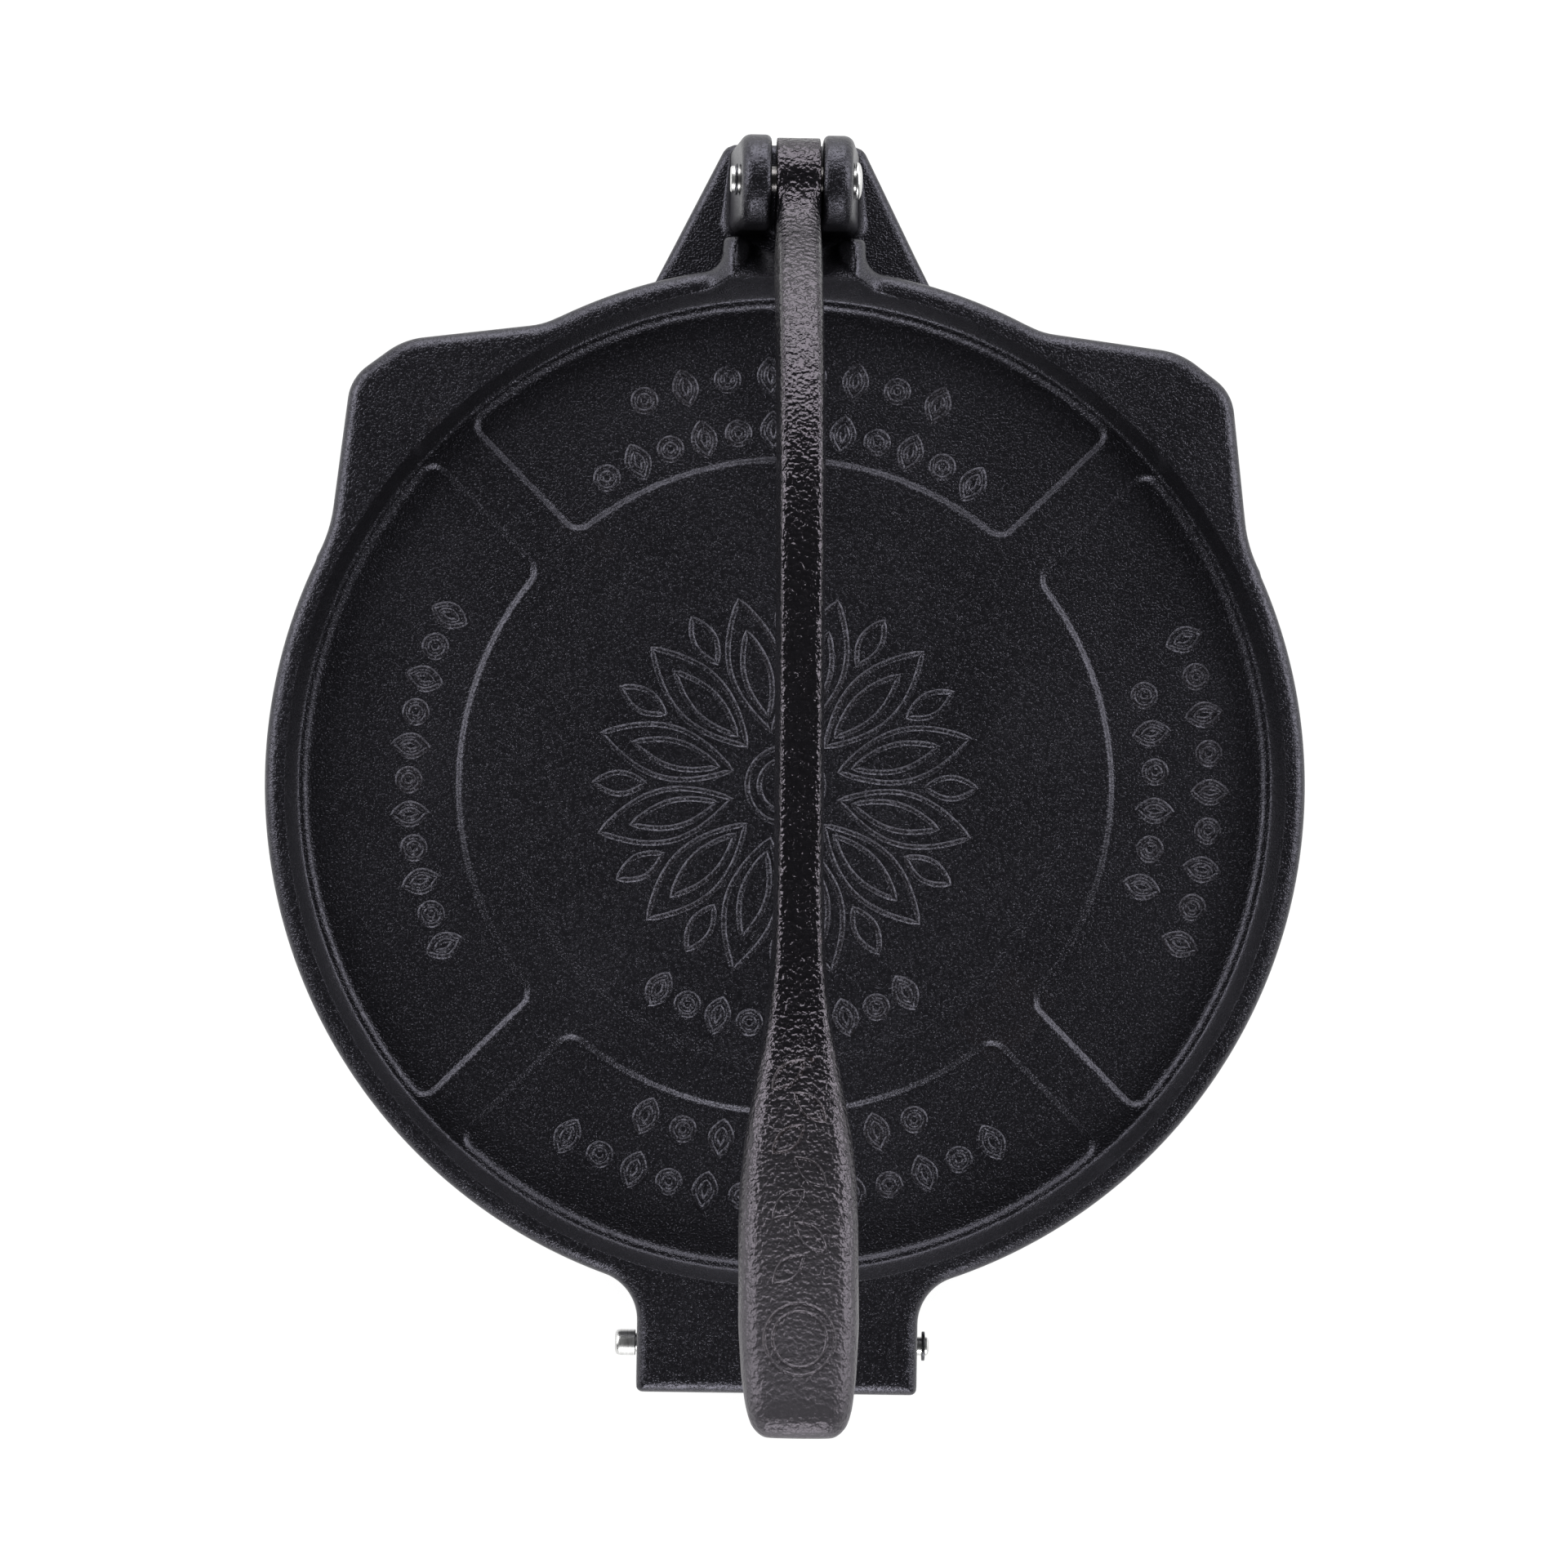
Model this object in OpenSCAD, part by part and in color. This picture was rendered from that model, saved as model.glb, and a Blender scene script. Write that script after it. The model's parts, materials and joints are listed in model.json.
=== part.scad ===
// Cast-iron tortilla press. Two round plates are hinged at the back, and a
// long lever at the front folds over the upper plate and presses it down.
// +X is to the right, +Y towards the lever's pivot, +Z up.
// The origin is the centre of the footprint, on the table.

/* [Plates] */
// Diameter of the round part of both plates
plate_d = 222.5; // [216:0.5:228]
// Centre of the plates along Y, measured from the footprint's centre
plate_y = -4.5; // [-6:0.5:-3]
// Height of the base's press face above the table
face_z = 16; // [15.5:0.5:17]
// Gap between the two press faces when the press is shut
plate_gap = 0.5; // [0.4:0.1:0.8]
// Thickness of the base's web
base_web = 4.5; // [4:0.5:6]
// Thickness of the lid's web
lid_web = 3.7; // [3.5:0.1:4.5]
// Height of the lid's rim above its press face
rim_h = 11.5; // [11:0.5:12.5]
// Width of the flat top and round edge of the lid's rim
rim_w = 4; // [3.5:0.1:5]

/* [Shoulders] */
// Distance of the shoulders' corner from the plate's centre along X
shoulder_x = 94.2; // [92:0.1:96]
// Distance of the shoulders' corner from the plate's centre along Y
shoulder_y = 93.8; // [92:0.1:95]
// How far the base's outline stays inside the lid's
base_inset = 0.75; // [0.5:0.05:1.5]

/* [Lid pattern] */
// Height of the ribs above the lid's floor
rib_h = 0.9; // [0.5:0.1:1.5]
// Width of a spoke across its foot
spoke_w = 11.6; // [9:0.1:14]
// Inner radius of the rib ring
ring_in = 60; // [55:0.5:62]
// Outer radius of the rib ring
ring_out = 70.5; // [68:0.5:75]

/* [Back hinge] */
// Distance of the hinge pin behind the plates' edge
hinge_out = 9.25; // [9:0.25:10]
// Height of the hinge pin
hinge_z = 14; // [13.5:0.5:15]
// Width of the lid's hinge tab
tab_w = 60; // [56:1:66]
// Distance of the tab's end behind the plates' edge
tab_out = 18.75; // [18.5:0.25:20]
// Width of the base's lug between the tab's cheeks
lug_w = 39; // [34:1:42]
// Diameter of the hinge pin
hinge_pin_d = 4; // [3.5:0.1:5]

/* [Lever bracket] */
// Distance of the lever's pivot in front of the plates' edge
pivot_out = 16.5; // [16:0.5:18]
// Height of the lever's pivot
pivot_z = 42; // [41:0.5:44]
// Distance between the two ears
ear_gap = 12.4; // [11.5:0.1:14]
// Distance between the ears' outer faces at the pivot
ear_span = 24.7; // [23:0.1:27]
// Distance of the tongue's end in front of the plates' edge
tongue_out = 28.25; // [27:0.25:30]
// Diameter of the lever's pivot pin
pivot_pin_d = 5.6; // [5:0.1:6]

/* [Lever] */
// Width of the lever's eye
eye_w = 9.3; // [8:0.1:10]
// Diameter of the lever's eye
eye_d = 19; // [18:0.5:20]
// Width of the arched part of the bar
arch_w = 10.4; // [9:0.1:11]
// Width of the straight part of the bar
bar_w = 9; // [8:0.1:10.5]
// Width of the grip
grip_w = 24; // [20:0.5:28]
// Reach of the lever from its pivot to the grip's end
lever_l = 258.25; // [255:0.25:260]

/* [Hidden] */
$fn = 96;

iron = [0.09, 0.09, 0.095];
steel = [0.72, 0.73, 0.75];
black_steel = [0.2, 0.2, 0.21];

plate_r = plate_d / 2;
lid_z = face_z + plate_gap;             // the lid's press face
floor_z = lid_z + lid_web;              // the dished floor of the lid
rim_z = lid_z + rim_h;                  // top of the lid's rim
web_z = face_z - base_web;              // underside of the base's web
hinge_y = plate_y - plate_r - hinge_out;
pivot_y = plate_y + plate_r + pivot_out;

running = 0.05;                         // radial clearance of both pins
rim_round = 2.6;                        // round outer edge of the lid's rim
rim_in = plate_r - rim_w;               // inner edge of the rim's top
wall_slope = 0.5;                       // run of the rim's inner wall per rise
rib_slope = 1.4;                        // run of the ribs' edges per rise
dish_fillet = 3.5;                      // round between the wall and the floor
skirt_w = 7;                            // width of the base's downward skirt
skirt_z = 5.5;                          // lower edge of the skirt
shoulder_z = 9;                         // underside of the base's shoulders
rib_t = 4;                              // ribs under the base
rib_ring_r = 47;

nose_w = 29.2;                          // the nose that the lever presses on
nose_out = 5.25;                        // its end, in front of the plates' edge
nose_z = rim_z + 5;
nose_foot_z = face_z + 2;
notch_r = 14.8;                         // round end of the nose, clear of the eye
trough_w = 22;                          // hollow between the nose's two horns
trough_y = plate_y + rim_in + 3.1;      // where its ramp starts

barrel_r = 6;                           // round the hinge pin, on the base
cheek_r = 7;                            // round the hinge pin, on the lid
barrel_gap = 0.6;
tab_fillet = 10.5;                      // plan view, between tab and plate

ear_r = eye_d / 2;
ear_draft = 0.079;                      // outer face: run per rise
tongue_z = 7;                           // underside of the tongue
foot_r = 92;                            // distance of the feet from the centre
foot_d = [13, 16];                      // at the table and at the web

pin_head_gap = 0.4;                     // head and clip clear the drafted ears
groove_w = 1.2;                         // of the pivot pin
pivot_groove_d = 4.5;
hinge_groove_d = 2.3;
hinge_groove_x = [1.4, 2.1];            // from the lid's tab
hinge_head = [5.6, 4.4];                // diameter and length
pivot_head = [7.9, 1.4];
hinge_clip = [6.3, 0.6];                // diameter and thickness
pivot_clip = [6.6, 0.5];

// Points of a cubic curve from p[0] to p[3], without the first one
function curve(p, n = 8) = [for (i = [1 : n]) let (t = i / n, s = 1 - t)
    s * s * s * p[0] + 3 * s * s * t * p[1] + 3 * s * t * t * p[2] + t * t * t * p[3]];

// Points of an arc about c
function arc(c, r, from, to, n = 6) = [for (i = [0 : n]) let (a = from + (to - from) * i / n)
    c + r * [cos(a), sin(a)]];

// Points of the round that replaces the corner b between a and c
function corner(a, b, c, r, n = 4) =
    let (u = (a - b) / norm(a - b),
         v = (c - b) / norm(c - b),
         half = acos(u * v) / 2,
         centre = b + (u + v) / norm(u + v) * r / sin(half),
         start = b + u * r / tan(half) - centre,
         turn = (cross(u, v) > 0 ? -1 : 1) * (180 - 2 * half),
         first = atan2(start.y, start.x))
    arc(centre, r, first, first + turn, n);

module along_x(length) rotate([90, 0, 90]) linear_extrude(length, center = true) children();
module along_y(length) rotate([90, 0, 0]) linear_extrude(length, center = true) children();
module rod_x(d, from, to) translate([from, 0, 0]) rotate([0, 90, 0]) cylinder(d = d, h = to - from);
module at_plate() translate([0, plate_y, 0]) children();
module at_hinge() translate([0, hinge_y, hinge_z]) children();
module at_pivot() translate([0, pivot_y, pivot_z]) children();
module both_sides() {
    children();
    mirror([1, 0, 0]) children();
}

// One shoulder, in plan, from the plate's centre
module shoulder_outline(inset = 0) {
    outer = [shoulder_x - inset, shoulder_y - 8.2 - inset];
    upper = [shoulder_x - 9.9 - inset, shoulder_y - inset];
    front = [shoulder_x - 50, shoulder_y + 6.4 - inset];
    back = [shoulder_x + 5 - inset, shoulder_y - 47.8];
    polygon(concat([[shoulder_x - 50, 70], front],
                   corner(front, upper, outer, 8),
                   corner(upper, outer, back, 8),
                   [back, [shoulder_x - 14, shoulder_y - 54]]));
}

// ---------------------------------------------------------------- base

// The press plate with its shoulders, hollow underneath inside the skirt
module base_disc() {
    r = plate_r - base_inset;
    inner = r - skirt_w;
    difference() {
        union() {
            rotate_extrude() polygon([
                [0, skirt_z], [r - 1.5, skirt_z], [r, skirt_z + 1.5],
                [r, face_z - 1], [r - 1, face_z], [0, face_z]]);
            translate([0, 0, shoulder_z]) linear_extrude(face_z - shoulder_z)
                both_sides() shoulder_outline(base_inset);
        }
        rotate_extrude() polygon([
            [0, 0], [inner + 0.8, 0], [inner + 0.8, skirt_z], [inner, web_z - 2.5],
            [inner - 3, web_z], [0, web_z]]);
    }
}

// Stiffening cross and ring under the press plate
module base_ribs() {
    low = skirt_z + 1.5;
    tall = face_z - 1 - low;
    for (a = [45, 135])
        rotate(a) translate([skirt_w - plate_r, -rib_t / 2, low])
            cube([2 * (plate_r - skirt_w), rib_t, tall]);
    difference() {
        translate([0, 0, low]) cylinder(r = rib_ring_r, h = tall);
        translate([0, 0, low - 1]) cylinder(r = rib_ring_r - rib_t, h = web_z - low + 1);
    }
}

module feet() {
    for (a = [45 : 90 : 315])
        rotate(a) translate([foot_r, 0, 0])
            cylinder(d1 = foot_d[0], d2 = foot_d[1], h = web_z + 1);
}

module tongue() {
    root = [30.5, plate_r - 5];
    side = [29.6, plate_r - 3];
    tip = [14.8, plate_r + tongue_out];
    half = concat([root, side], corner(side, tip, [0, tip.y], 5));
    translate([0, 0, tongue_z]) linear_extrude(face_z - tongue_z)
        polygon(concat(half, [for (i = [len(half) - 1 : -1 : 0]) [-half[i].x, half[i].y]]));
}

module ears() {
    drop = pivot_z - face_z + 1;
    top = ear_span / 2 - ear_draft * ear_r;
    foot = ear_span / 2 + ear_draft * drop;
    intersection() {
        along_x(2 * foot) {
            circle(r = ear_r);
            translate([-ear_r, -drop]) square([2 * ear_r, drop]);
        }
        along_y(3 * ear_r) both_sides() polygon([
            [ear_gap / 2, -drop], [foot, -drop], [top, ear_r], [ear_gap / 2, ear_r]]);
    }
}

module base_lug() {
    reach = hinge_out + 6;
    at_hinge() along_x(lug_w) {
        circle(r = barrel_r);
        translate([0, -barrel_r]) square([reach, face_z - hinge_z + barrel_r]);
    }
}

module base_plate() color(iron) difference() {
    union() {
        at_plate() {
            base_disc();
            base_ribs();
            feet();
            tongue();
        }
        at_pivot() ears();
        base_lug();
    }
    at_pivot() rod_x(pivot_pin_d + 2 * running, -ear_span, ear_span);
    at_hinge() rod_x(hinge_pin_d + 2 * running, -tab_w, tab_w);
}

// ----------------------------------------------------------------- lid

module lid_disc() {
    edge = [plate_r - rim_round, rim_z - rim_round];
    rotate_extrude() polygon(concat(
        [[0, lid_z], [plate_r - 1, lid_z], [plate_r, lid_z + 1]],
        arc(edge, rim_round, 0, 90), [[0, rim_z]]));
}

// The hollow of the dish, cut out of the lid
module dish() {
    wall = atan(1 / wall_slope);
    top = nose_z + 1;
    fillet = [rim_in - wall_slope * (rim_z - floor_z) - dish_fillet * tan(wall / 2),
              floor_z + dish_fillet];
    rotate_extrude() polygon(concat(
        [[0, floor_z]],
        arc(fillet, dish_fillet, -90, wall - 90),
        [[rim_in + wall_slope * (top - rim_z), top], [0, top]]));
}

// The raised ring, its spokes and the disc inside the ring
module lid_pattern() {
    low = floor_z - 1;
    high = floor_z + rib_h;
    foot = rib_slope;                   // the slopes run on into the floor
    top = -rib_slope * rib_h;
    spoke_from = ring_out - 8;
    spoke_to = rim_in - 2.5;
    rotate_extrude() polygon([
        [0, low], [0, high - 0.3], [ring_in - 1, high - 0.3], [ring_in + 0.2, high],
        [ring_out + top, high], [ring_out + foot, low]]);
    for (a = [45 : 90 : 315])
        rotate(a) translate([(spoke_from + spoke_to) / 2, 0, 0]) along_x(spoke_to - spoke_from)
            polygon([[-spoke_w / 2 - foot, low], [spoke_w / 2 + foot, low],
                     [spoke_w / 2 + top, high], [-spoke_w / 2 - top, high]]);
}

module nose() {
    side = nose_w / 2;
    end = plate_r + nose_out;
    half = [[side + 7, plate_r - 3], [side + 3, plate_r - 0.8], [side + 0.8, plate_r + 1],
            [side, plate_r + 3], [side, end - 1.2], [side - 1.2, end]];
    difference() {
        at_plate() translate([0, 0, nose_foot_z]) linear_extrude(nose_z - nose_foot_z)
            polygon(concat(half, [for (i = [len(half) - 1 : -1 : 0]) [-half[i].x, half[i].y]]));
        translate([0, pivot_y, 0]) cylinder(r = notch_r, h = nose_z + 1);
        along_x(trough_w) polygon([
            [trough_y, nose_z], [trough_y + 8, nose_z - 9], [trough_y + 8, nose_z + 1],
            [trough_y, nose_z + 1]]);
    }
}

module hinge_tab() {
    side = tab_w / 2;
    end = -plate_r - tab_out;
    centre_x = side + tab_fillet;
    centre_y = -sqrt(pow(plate_r + tab_fillet, 2) - pow(centre_x, 2));
    half = concat([[side + 3, -plate_r + 12]],
                  arc([centre_x, centre_y], tab_fillet, 112, 180, 5),
                  corner([side, centre_y], [side, end], [0, end], 1.5));
    at_plate() translate([0, 0, lid_z]) linear_extrude(rim_h)
        polygon(concat(half, [for (i = [len(half) - 1 : -1 : 0]) [-half[i].x, half[i].y]]));
}

// The lid's knuckles on both sides of the base's lug
module cheeks() {
    width = (tab_w - lug_w - 1) / 2;
    both_sides() translate([(tab_w - width) / 2, 0, 0]) at_hinge() along_x(width) {
        circle(r = cheek_r);
        translate([-cheek_r, 0]) square([2 * cheek_r, lid_z - hinge_z + 2]);
    }
}

module lid_plate() color(iron) difference() {
    union() {
        difference() {
            union() {
                at_plate() lid_disc();
                at_plate() translate([0, 0, lid_z]) linear_extrude(rim_h)
                    both_sides() shoulder_outline();
                hinge_tab();
                nose();
            }
            at_plate() dish();
        }
        at_plate() lid_pattern();
        cheeks();
    }
    at_hinge() rod_x(2 * (barrel_r + barrel_gap), -lug_w / 2 - 0.5, lug_w / 2 + 0.5);
    at_hinge() rod_x(hinge_pin_d + 2 * running, -tab_w, tab_w);
}

// --------------------------------------------------------------- lever

// Side view of the lever: x is the distance from the pivot towards the grip
arch_top = [72, 51];
bar_end = [150, 49];
grip_top = [250, 72.5];
grip_under = [lever_l - 1.25, 65];
lever_side = concat(
    [[4.5, 8]],
    curve([[4.5, 8], [14, 27], [36, 51], arch_top], 10),
    curve([arch_top, [100, 51], [125, 49], bar_end], 4),
    curve([bar_end, [190, 49], [222, 60], grip_top], 8),
    curve([grip_top, [256, 75], [260, 70], grip_under], 5),
    curve([grip_under, [254, 59], [240, 58], [228, 53]], 5),
    curve([[228, 53], [205, 43], [180, 37], [150, 37]], 8),
    curve([[150, 37], [125, 37], [95, 38], [70, 38]], 4),
    curve([[70, 38], [45, 38], [27, 27], [17, 8]], 10),
    [[12.5, -2], [12, -14], [11, -18], [7.5, -18.5], [-2, -9.2]]);

// Plan view: distance from the pivot, and half of the width there
lever_half = concat(
    [[-eye_d, eye_w / 2], [ear_r, eye_w / 2], [ear_r + 2, arch_w / 2], [72, arch_w / 2],
     [90, bar_w / 2], [150, bar_w / 2]],
    curve([[150, bar_w / 2], [172, bar_w / 2], [186, grip_w / 2], [222, grip_w / 2]], 8),
    [[238, grip_w / 2]],
    curve([[238, grip_w / 2], [247, grip_w / 2], [lever_l, 10.5], [lever_l, 0]], 6));

module bar() intersection() {
    rotate([0, 0, 180]) along_x(grip_w + 2) polygon(lever_side);
    rotate([0, 0, -90]) translate([0, 0, -eye_d]) linear_extrude(6 * eye_d)
        polygon(concat(lever_half,
                       [for (i = [len(lever_half) - 1 : -1 : 0])
                           [lever_half[i].x, -lever_half[i].y]]));
}

module handle() color(iron) at_pivot() difference() {
    union() {
        bar();
        rod_x(eye_d, -eye_w / 2 - 0.1, eye_w / 2 + 0.1);
    }
    rod_x(pivot_pin_d + 2 * running, -grip_w, grip_w);
}

// ---------------------------------------------------------------- pins

// A retaining ring about X, snapped on from below
module clip(size, groove_d) rotate([90, 0, 90]) linear_extrude(size[1]) difference() {
    circle(d = size[0]);
    circle(d = groove_d + 0.04);
    translate([-groove_d * 0.4, -size[0]]) square([groove_d * 0.8, size[0]]);
}

module pivot_pin() color(steel) {
    seat = ear_span / 2 + pin_head_gap;
    dome = pivot_head[1];
    at_pivot() {
        rod_x(pivot_pin_d, -seat, seat);
        rod_x(pivot_groove_d, -seat - groove_w, -seat);
        rod_x(pivot_pin_d, -seat - groove_w - 0.9, -seat - groove_w);
        translate([seat, 0, 0]) rotate([0, 90, 0]) rotate_extrude() polygon(concat(
            [[0, 0], [pivot_head[0] / 2, 0], [pivot_head[0] / 2, 0.35]],
            [for (a = [20 : 20 : 80]) [pivot_head[0] / 2 * cos(a), 0.35 + (dome - 0.35) * sin(a)]],
            [[0, dome]]));
    }
}

module pivot_pin_clip() color(black_steel)
    at_pivot() translate([-ear_span / 2 - pin_head_gap - pivot_clip[1] - 0.05, 0, 0])
        clip(pivot_clip, pivot_groove_d);

module hinge_pin() color(steel) {
    seat = tab_w / 2 + 0.3;
    groove = hinge_groove_x + [1, 1] * tab_w / 2;
    at_hinge() {
        rod_x(hinge_pin_d, -seat, groove[0]);
        rod_x(hinge_head[0], -seat - hinge_head[1] + 0.6, -seat);
        translate([-seat - hinge_head[1] + 0.6, 0, 0]) rotate([0, -90, 0])
            cylinder(d1 = hinge_head[0], d2 = hinge_head[0] - 1, h = 0.6);
        rod_x(hinge_groove_d, groove[0], groove[1]);
        rod_x(hinge_pin_d, groove[1], groove[1] + 0.5);
        translate([groove[1] + 0.5, 0, 0]) rotate([0, 90, 0])
            cylinder(d1 = hinge_pin_d, d2 = hinge_pin_d - 1.2, h = 0.4);
    }
}

module hinge_pin_clip() color(black_steel)
    at_hinge() translate([tab_w / 2 + hinge_groove_x[0] + 0.05, 0, 0])
        clip(hinge_clip, hinge_groove_d);

base_plate();
lid_plate();
handle();
pivot_pin();
pivot_pin_clip();
hinge_pin();
hinge_pin_clip();
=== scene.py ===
"""Cast-iron tortilla press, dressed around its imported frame."""

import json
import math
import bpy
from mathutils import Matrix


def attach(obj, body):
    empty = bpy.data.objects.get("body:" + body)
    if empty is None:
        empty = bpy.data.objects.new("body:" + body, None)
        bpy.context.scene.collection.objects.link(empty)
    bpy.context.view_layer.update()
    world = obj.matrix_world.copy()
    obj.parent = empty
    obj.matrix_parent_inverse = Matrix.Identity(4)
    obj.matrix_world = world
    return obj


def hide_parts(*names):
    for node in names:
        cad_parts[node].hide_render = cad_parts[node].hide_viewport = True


bl_info = {
    "name": "Tortilla Press",
    "version": (1, 0, 0),
    "blender": (4, 5, 0),
    "location": "View3D > Sidebar > Tortilla Press",
    "description": "Builds a cast-iron tortilla press with a folding lever",
    "category": "Add Mesh",
}

import bmesh
import bpy
import numpy as np
from mathutils import Matrix, Vector

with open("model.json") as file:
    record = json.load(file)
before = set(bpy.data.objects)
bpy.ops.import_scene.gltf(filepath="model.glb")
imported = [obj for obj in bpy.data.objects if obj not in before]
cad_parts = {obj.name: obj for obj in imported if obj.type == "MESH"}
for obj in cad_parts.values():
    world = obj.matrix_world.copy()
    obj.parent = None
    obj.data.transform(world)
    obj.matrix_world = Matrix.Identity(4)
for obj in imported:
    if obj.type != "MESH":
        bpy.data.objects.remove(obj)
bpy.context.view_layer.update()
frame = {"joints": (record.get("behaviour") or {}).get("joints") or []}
MM = 0.001

JOINTS = {joint["name"]: joint for joint in frame["joints"]}
HINGE = Vector(JOINTS["lid_hinge"]["pos_m"]) / MM
PIVOT = Vector(JOINTS["handle_swing"]["pos_m"]) / MM


# --- sizes and colours a user may change ---------------------------------------------


def length(name, description, millimetres, smallest=0.0):
    """A length property, shown in the scene's unit."""
    default, lowest = millimetres * MM, smallest * MM
    return bpy.props.FloatProperty(
        name=name, description=description, default=default, min=lowest,
        unit="LENGTH", subtype="DISTANCE",
    )


def colour(name, description, red, green, blue):
    """A colour property."""
    return bpy.props.FloatVectorProperty(
        name=name, description=description, default=(red, green, blue),
        min=0.0, max=1.0, size=3, subtype="COLOR",
    )


def angle(name, description, degrees):
    """An angle property."""
    return bpy.props.FloatProperty(
        name=name, description=description, default=math.radians(degrees),
        unit="ROTATION", subtype="ANGLE",
    )


class PressPlateSizes(bpy.types.PropertyGroup):
    """Sizes of the two round castings."""

    radius: length("Plate radius", "Radius of the lid's round rim", 111.25, 90)
    hinge_out: length("Hinge distance", "From the plates' edge to the hinge pin", 9.25)
    base_inset: length("Base inset", "How far the base stays inside the lid's outline", 0.75)
    lid_face: length("Lid face", "Height of the lid's press face", 16.5)
    floor: length("Dish floor", "Height of the lid's recessed floor", 20.2)
    rim: length("Rim", "Height of the lid's rim", 28.0)
    rim_round: length("Rim round", "Rounding of the rim's outer edge", 3.0)
    lip: length("Lip radius", "Radius at which the rim's inner wall starts", 106.85)
    fillet: length("Dish fillet", "Rounding between the floor and the wall", 3.0)
    rib: length("Rib height", "How far the ring and the spokes stand up", 0.9)
    spoke: length("Spoke width", "Width of a spoke's flat top", 9.6)
    ring: length("Ring radius", "Outer radius of the ring's flat top", 69.3)
    hub: length("Hub radius", "Radius of the disc inside the ring", 59.5)


class PressLeverSizes(bpy.types.PropertyGroup):
    """Sizes of the lever."""

    eye: length("Eye radius", "Radius of the eye round the pivot pin", 8.9)
    eye_half: length("Eye half width", "Half of the eye's width", 4.65)
    bore: length("Bore radius", "Radius of the eye's bore", 2.85)
    grain: length("Fusing grain", "Cell size that fuses the lever's parts", 0.5, 0.3)


class PressFinish(bpy.types.PropertyGroup):
    """Colours and grain of the castings and pins."""

    iron: colour("Iron", "Seasoned iron on the castings", 0.0031, 0.0030, 0.0036)
    brown: colour("Worn edge", "Brown tint where the seasoning is thin", 0.022, 0.014, 0.011)
    # Painted light: a lighter grey laid on the grip in place of the light that its end catches
    matt_and_painted_light: colour("Matt grip iron with painted light", "Satin grey, painted lighter on the grip", 0.044, 0.042, 0.047)
    steel: colour("Steel", "Turned steel of the pins", 0.78, 0.78, 0.77)
    # Painted shade: a darker steel for the shank between the ears, where the ears and lever shade
    # it
    shaded_shank_steel: colour("Painted shade steel", "Darkened shank between the ears", 0.20, 0.19, 0.19)
    black_steel: colour("Clip steel", "Blackened steel of the clips", 0.045, 0.045, 0.05)
    plate_sheen: colour("Plate sheen", "Tint of the light off the plates", 0.85, 0.83, 1.0)
    lever_sheen: colour("Lever sheen", "Tint of the light off the lever", 0.97, 0.87, 1.0)
    grain: length("Cast grain", "Size of the plates' cast grain", 0.42)
    peel: length("Lever grain", "Size of the lever's coarser grain", 0.9)


class PressStage(bpy.types.PropertyGroup):
    """Camera, lights and floor."""

    distance: length("Camera distance", "From the rim's plane to the camera", 1250)
    span: length("Framed width", "Width that the picture covers at the rim", 334.55)
    lean: angle("Camera lean", "How far the camera stands to the left of straight above", 1.2)
    roll: angle("Camera roll", "Turn of the picture against the press", 0.9)
    panel_power: bpy.props.FloatProperty(
        name="Panel power", description="Power of a side panel",
        default=16.0, min=0.0, unit="POWER",
    )
    sky: bpy.props.FloatProperty(
        name="Fill light", description="Strength of the light from all round",
        default=0.06, min=0.0,
    )


class PressSettings(bpy.types.PropertyGroup):
    """All groups together."""

    plates: bpy.props.PointerProperty(type=PressPlateSizes, name="Plates")
    lever: bpy.props.PointerProperty(type=PressLeverSizes, name="Lever")
    finish: bpy.props.PointerProperty(type=PressFinish, name="Finish")
    stage: bpy.props.PointerProperty(type=PressStage, name="Stage")


def settings():
    """The scene's own copy of every property group."""
    return bpy.context.scene.tortilla_press


class Millimetres:
    """A group's lengths as plain numbers in millimetres."""

    def __init__(self, group):
        for name in type(group).__annotations__:
            setattr(self, name, getattr(group, name) / MM)


def plate_sizes():
    """The plates' sizes in millimetres, and the y of their common centre."""
    sizes = Millimetres(settings().plates)
    sizes.centre_y = HINGE.y + sizes.hinge_out + sizes.radius
    return sizes


# --- small geometry helpers, all in millimetres --------------------------------------


def arc(centre, radius, start, end, steps):
    """Points of an arc in the plane; the angles are in degrees."""
    x, y = centre
    angles = np.radians(np.linspace(start, end, steps + 1))
    return [Vector((x + radius * math.cos(a), y + radius * math.sin(a))) for a in angles]


def bearing(point):
    """Direction of a point from the origin, in degrees."""
    return math.degrees(math.atan2(point[1], point[0]))


def corner(before, point, after, radius, steps=6):
    """Points of the round that replaces a polygon's corner."""
    before, point, after = Vector(before), Vector(point), Vector(after)
    towards, onwards = (before - point).normalized(), (after - point).normalized()
    half = towards.angle(onwards) / 2
    centre = point + (towards + onwards).normalized() * radius / math.sin(half)
    start = point + towards * radius / math.tan(half) - centre
    sweep = math.pi - 2 * half
    if towards.cross(onwards) > 0:
        sweep = -sweep
    return [centre + Matrix.Rotation(sweep * i / steps, 2) @ start for i in range(steps + 1)]


def rounded(points, radii, steps=6):
    """A closed polygon with each corner rounded."""
    befores, afters = points[-1:] + points[:-1], points[1:] + points[:1]
    path = []
    for before, point, after, radius in zip(befores, points, afters, radii):
        path += corner(before, point, after, radius, steps)
    return path


def curve(points, steps):
    """Points of a cubic Bezier curve, both ends included."""
    a, b, c, d = (np.array(point, float) for point in points)
    path = []
    for t in np.linspace(0, 1, steps + 1):
        u = 1 - t
        path.append(Vector(u**3 * a + 3 * u**2 * t * b + 3 * u * t**2 * c + t**3 * d))
    return path


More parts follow.
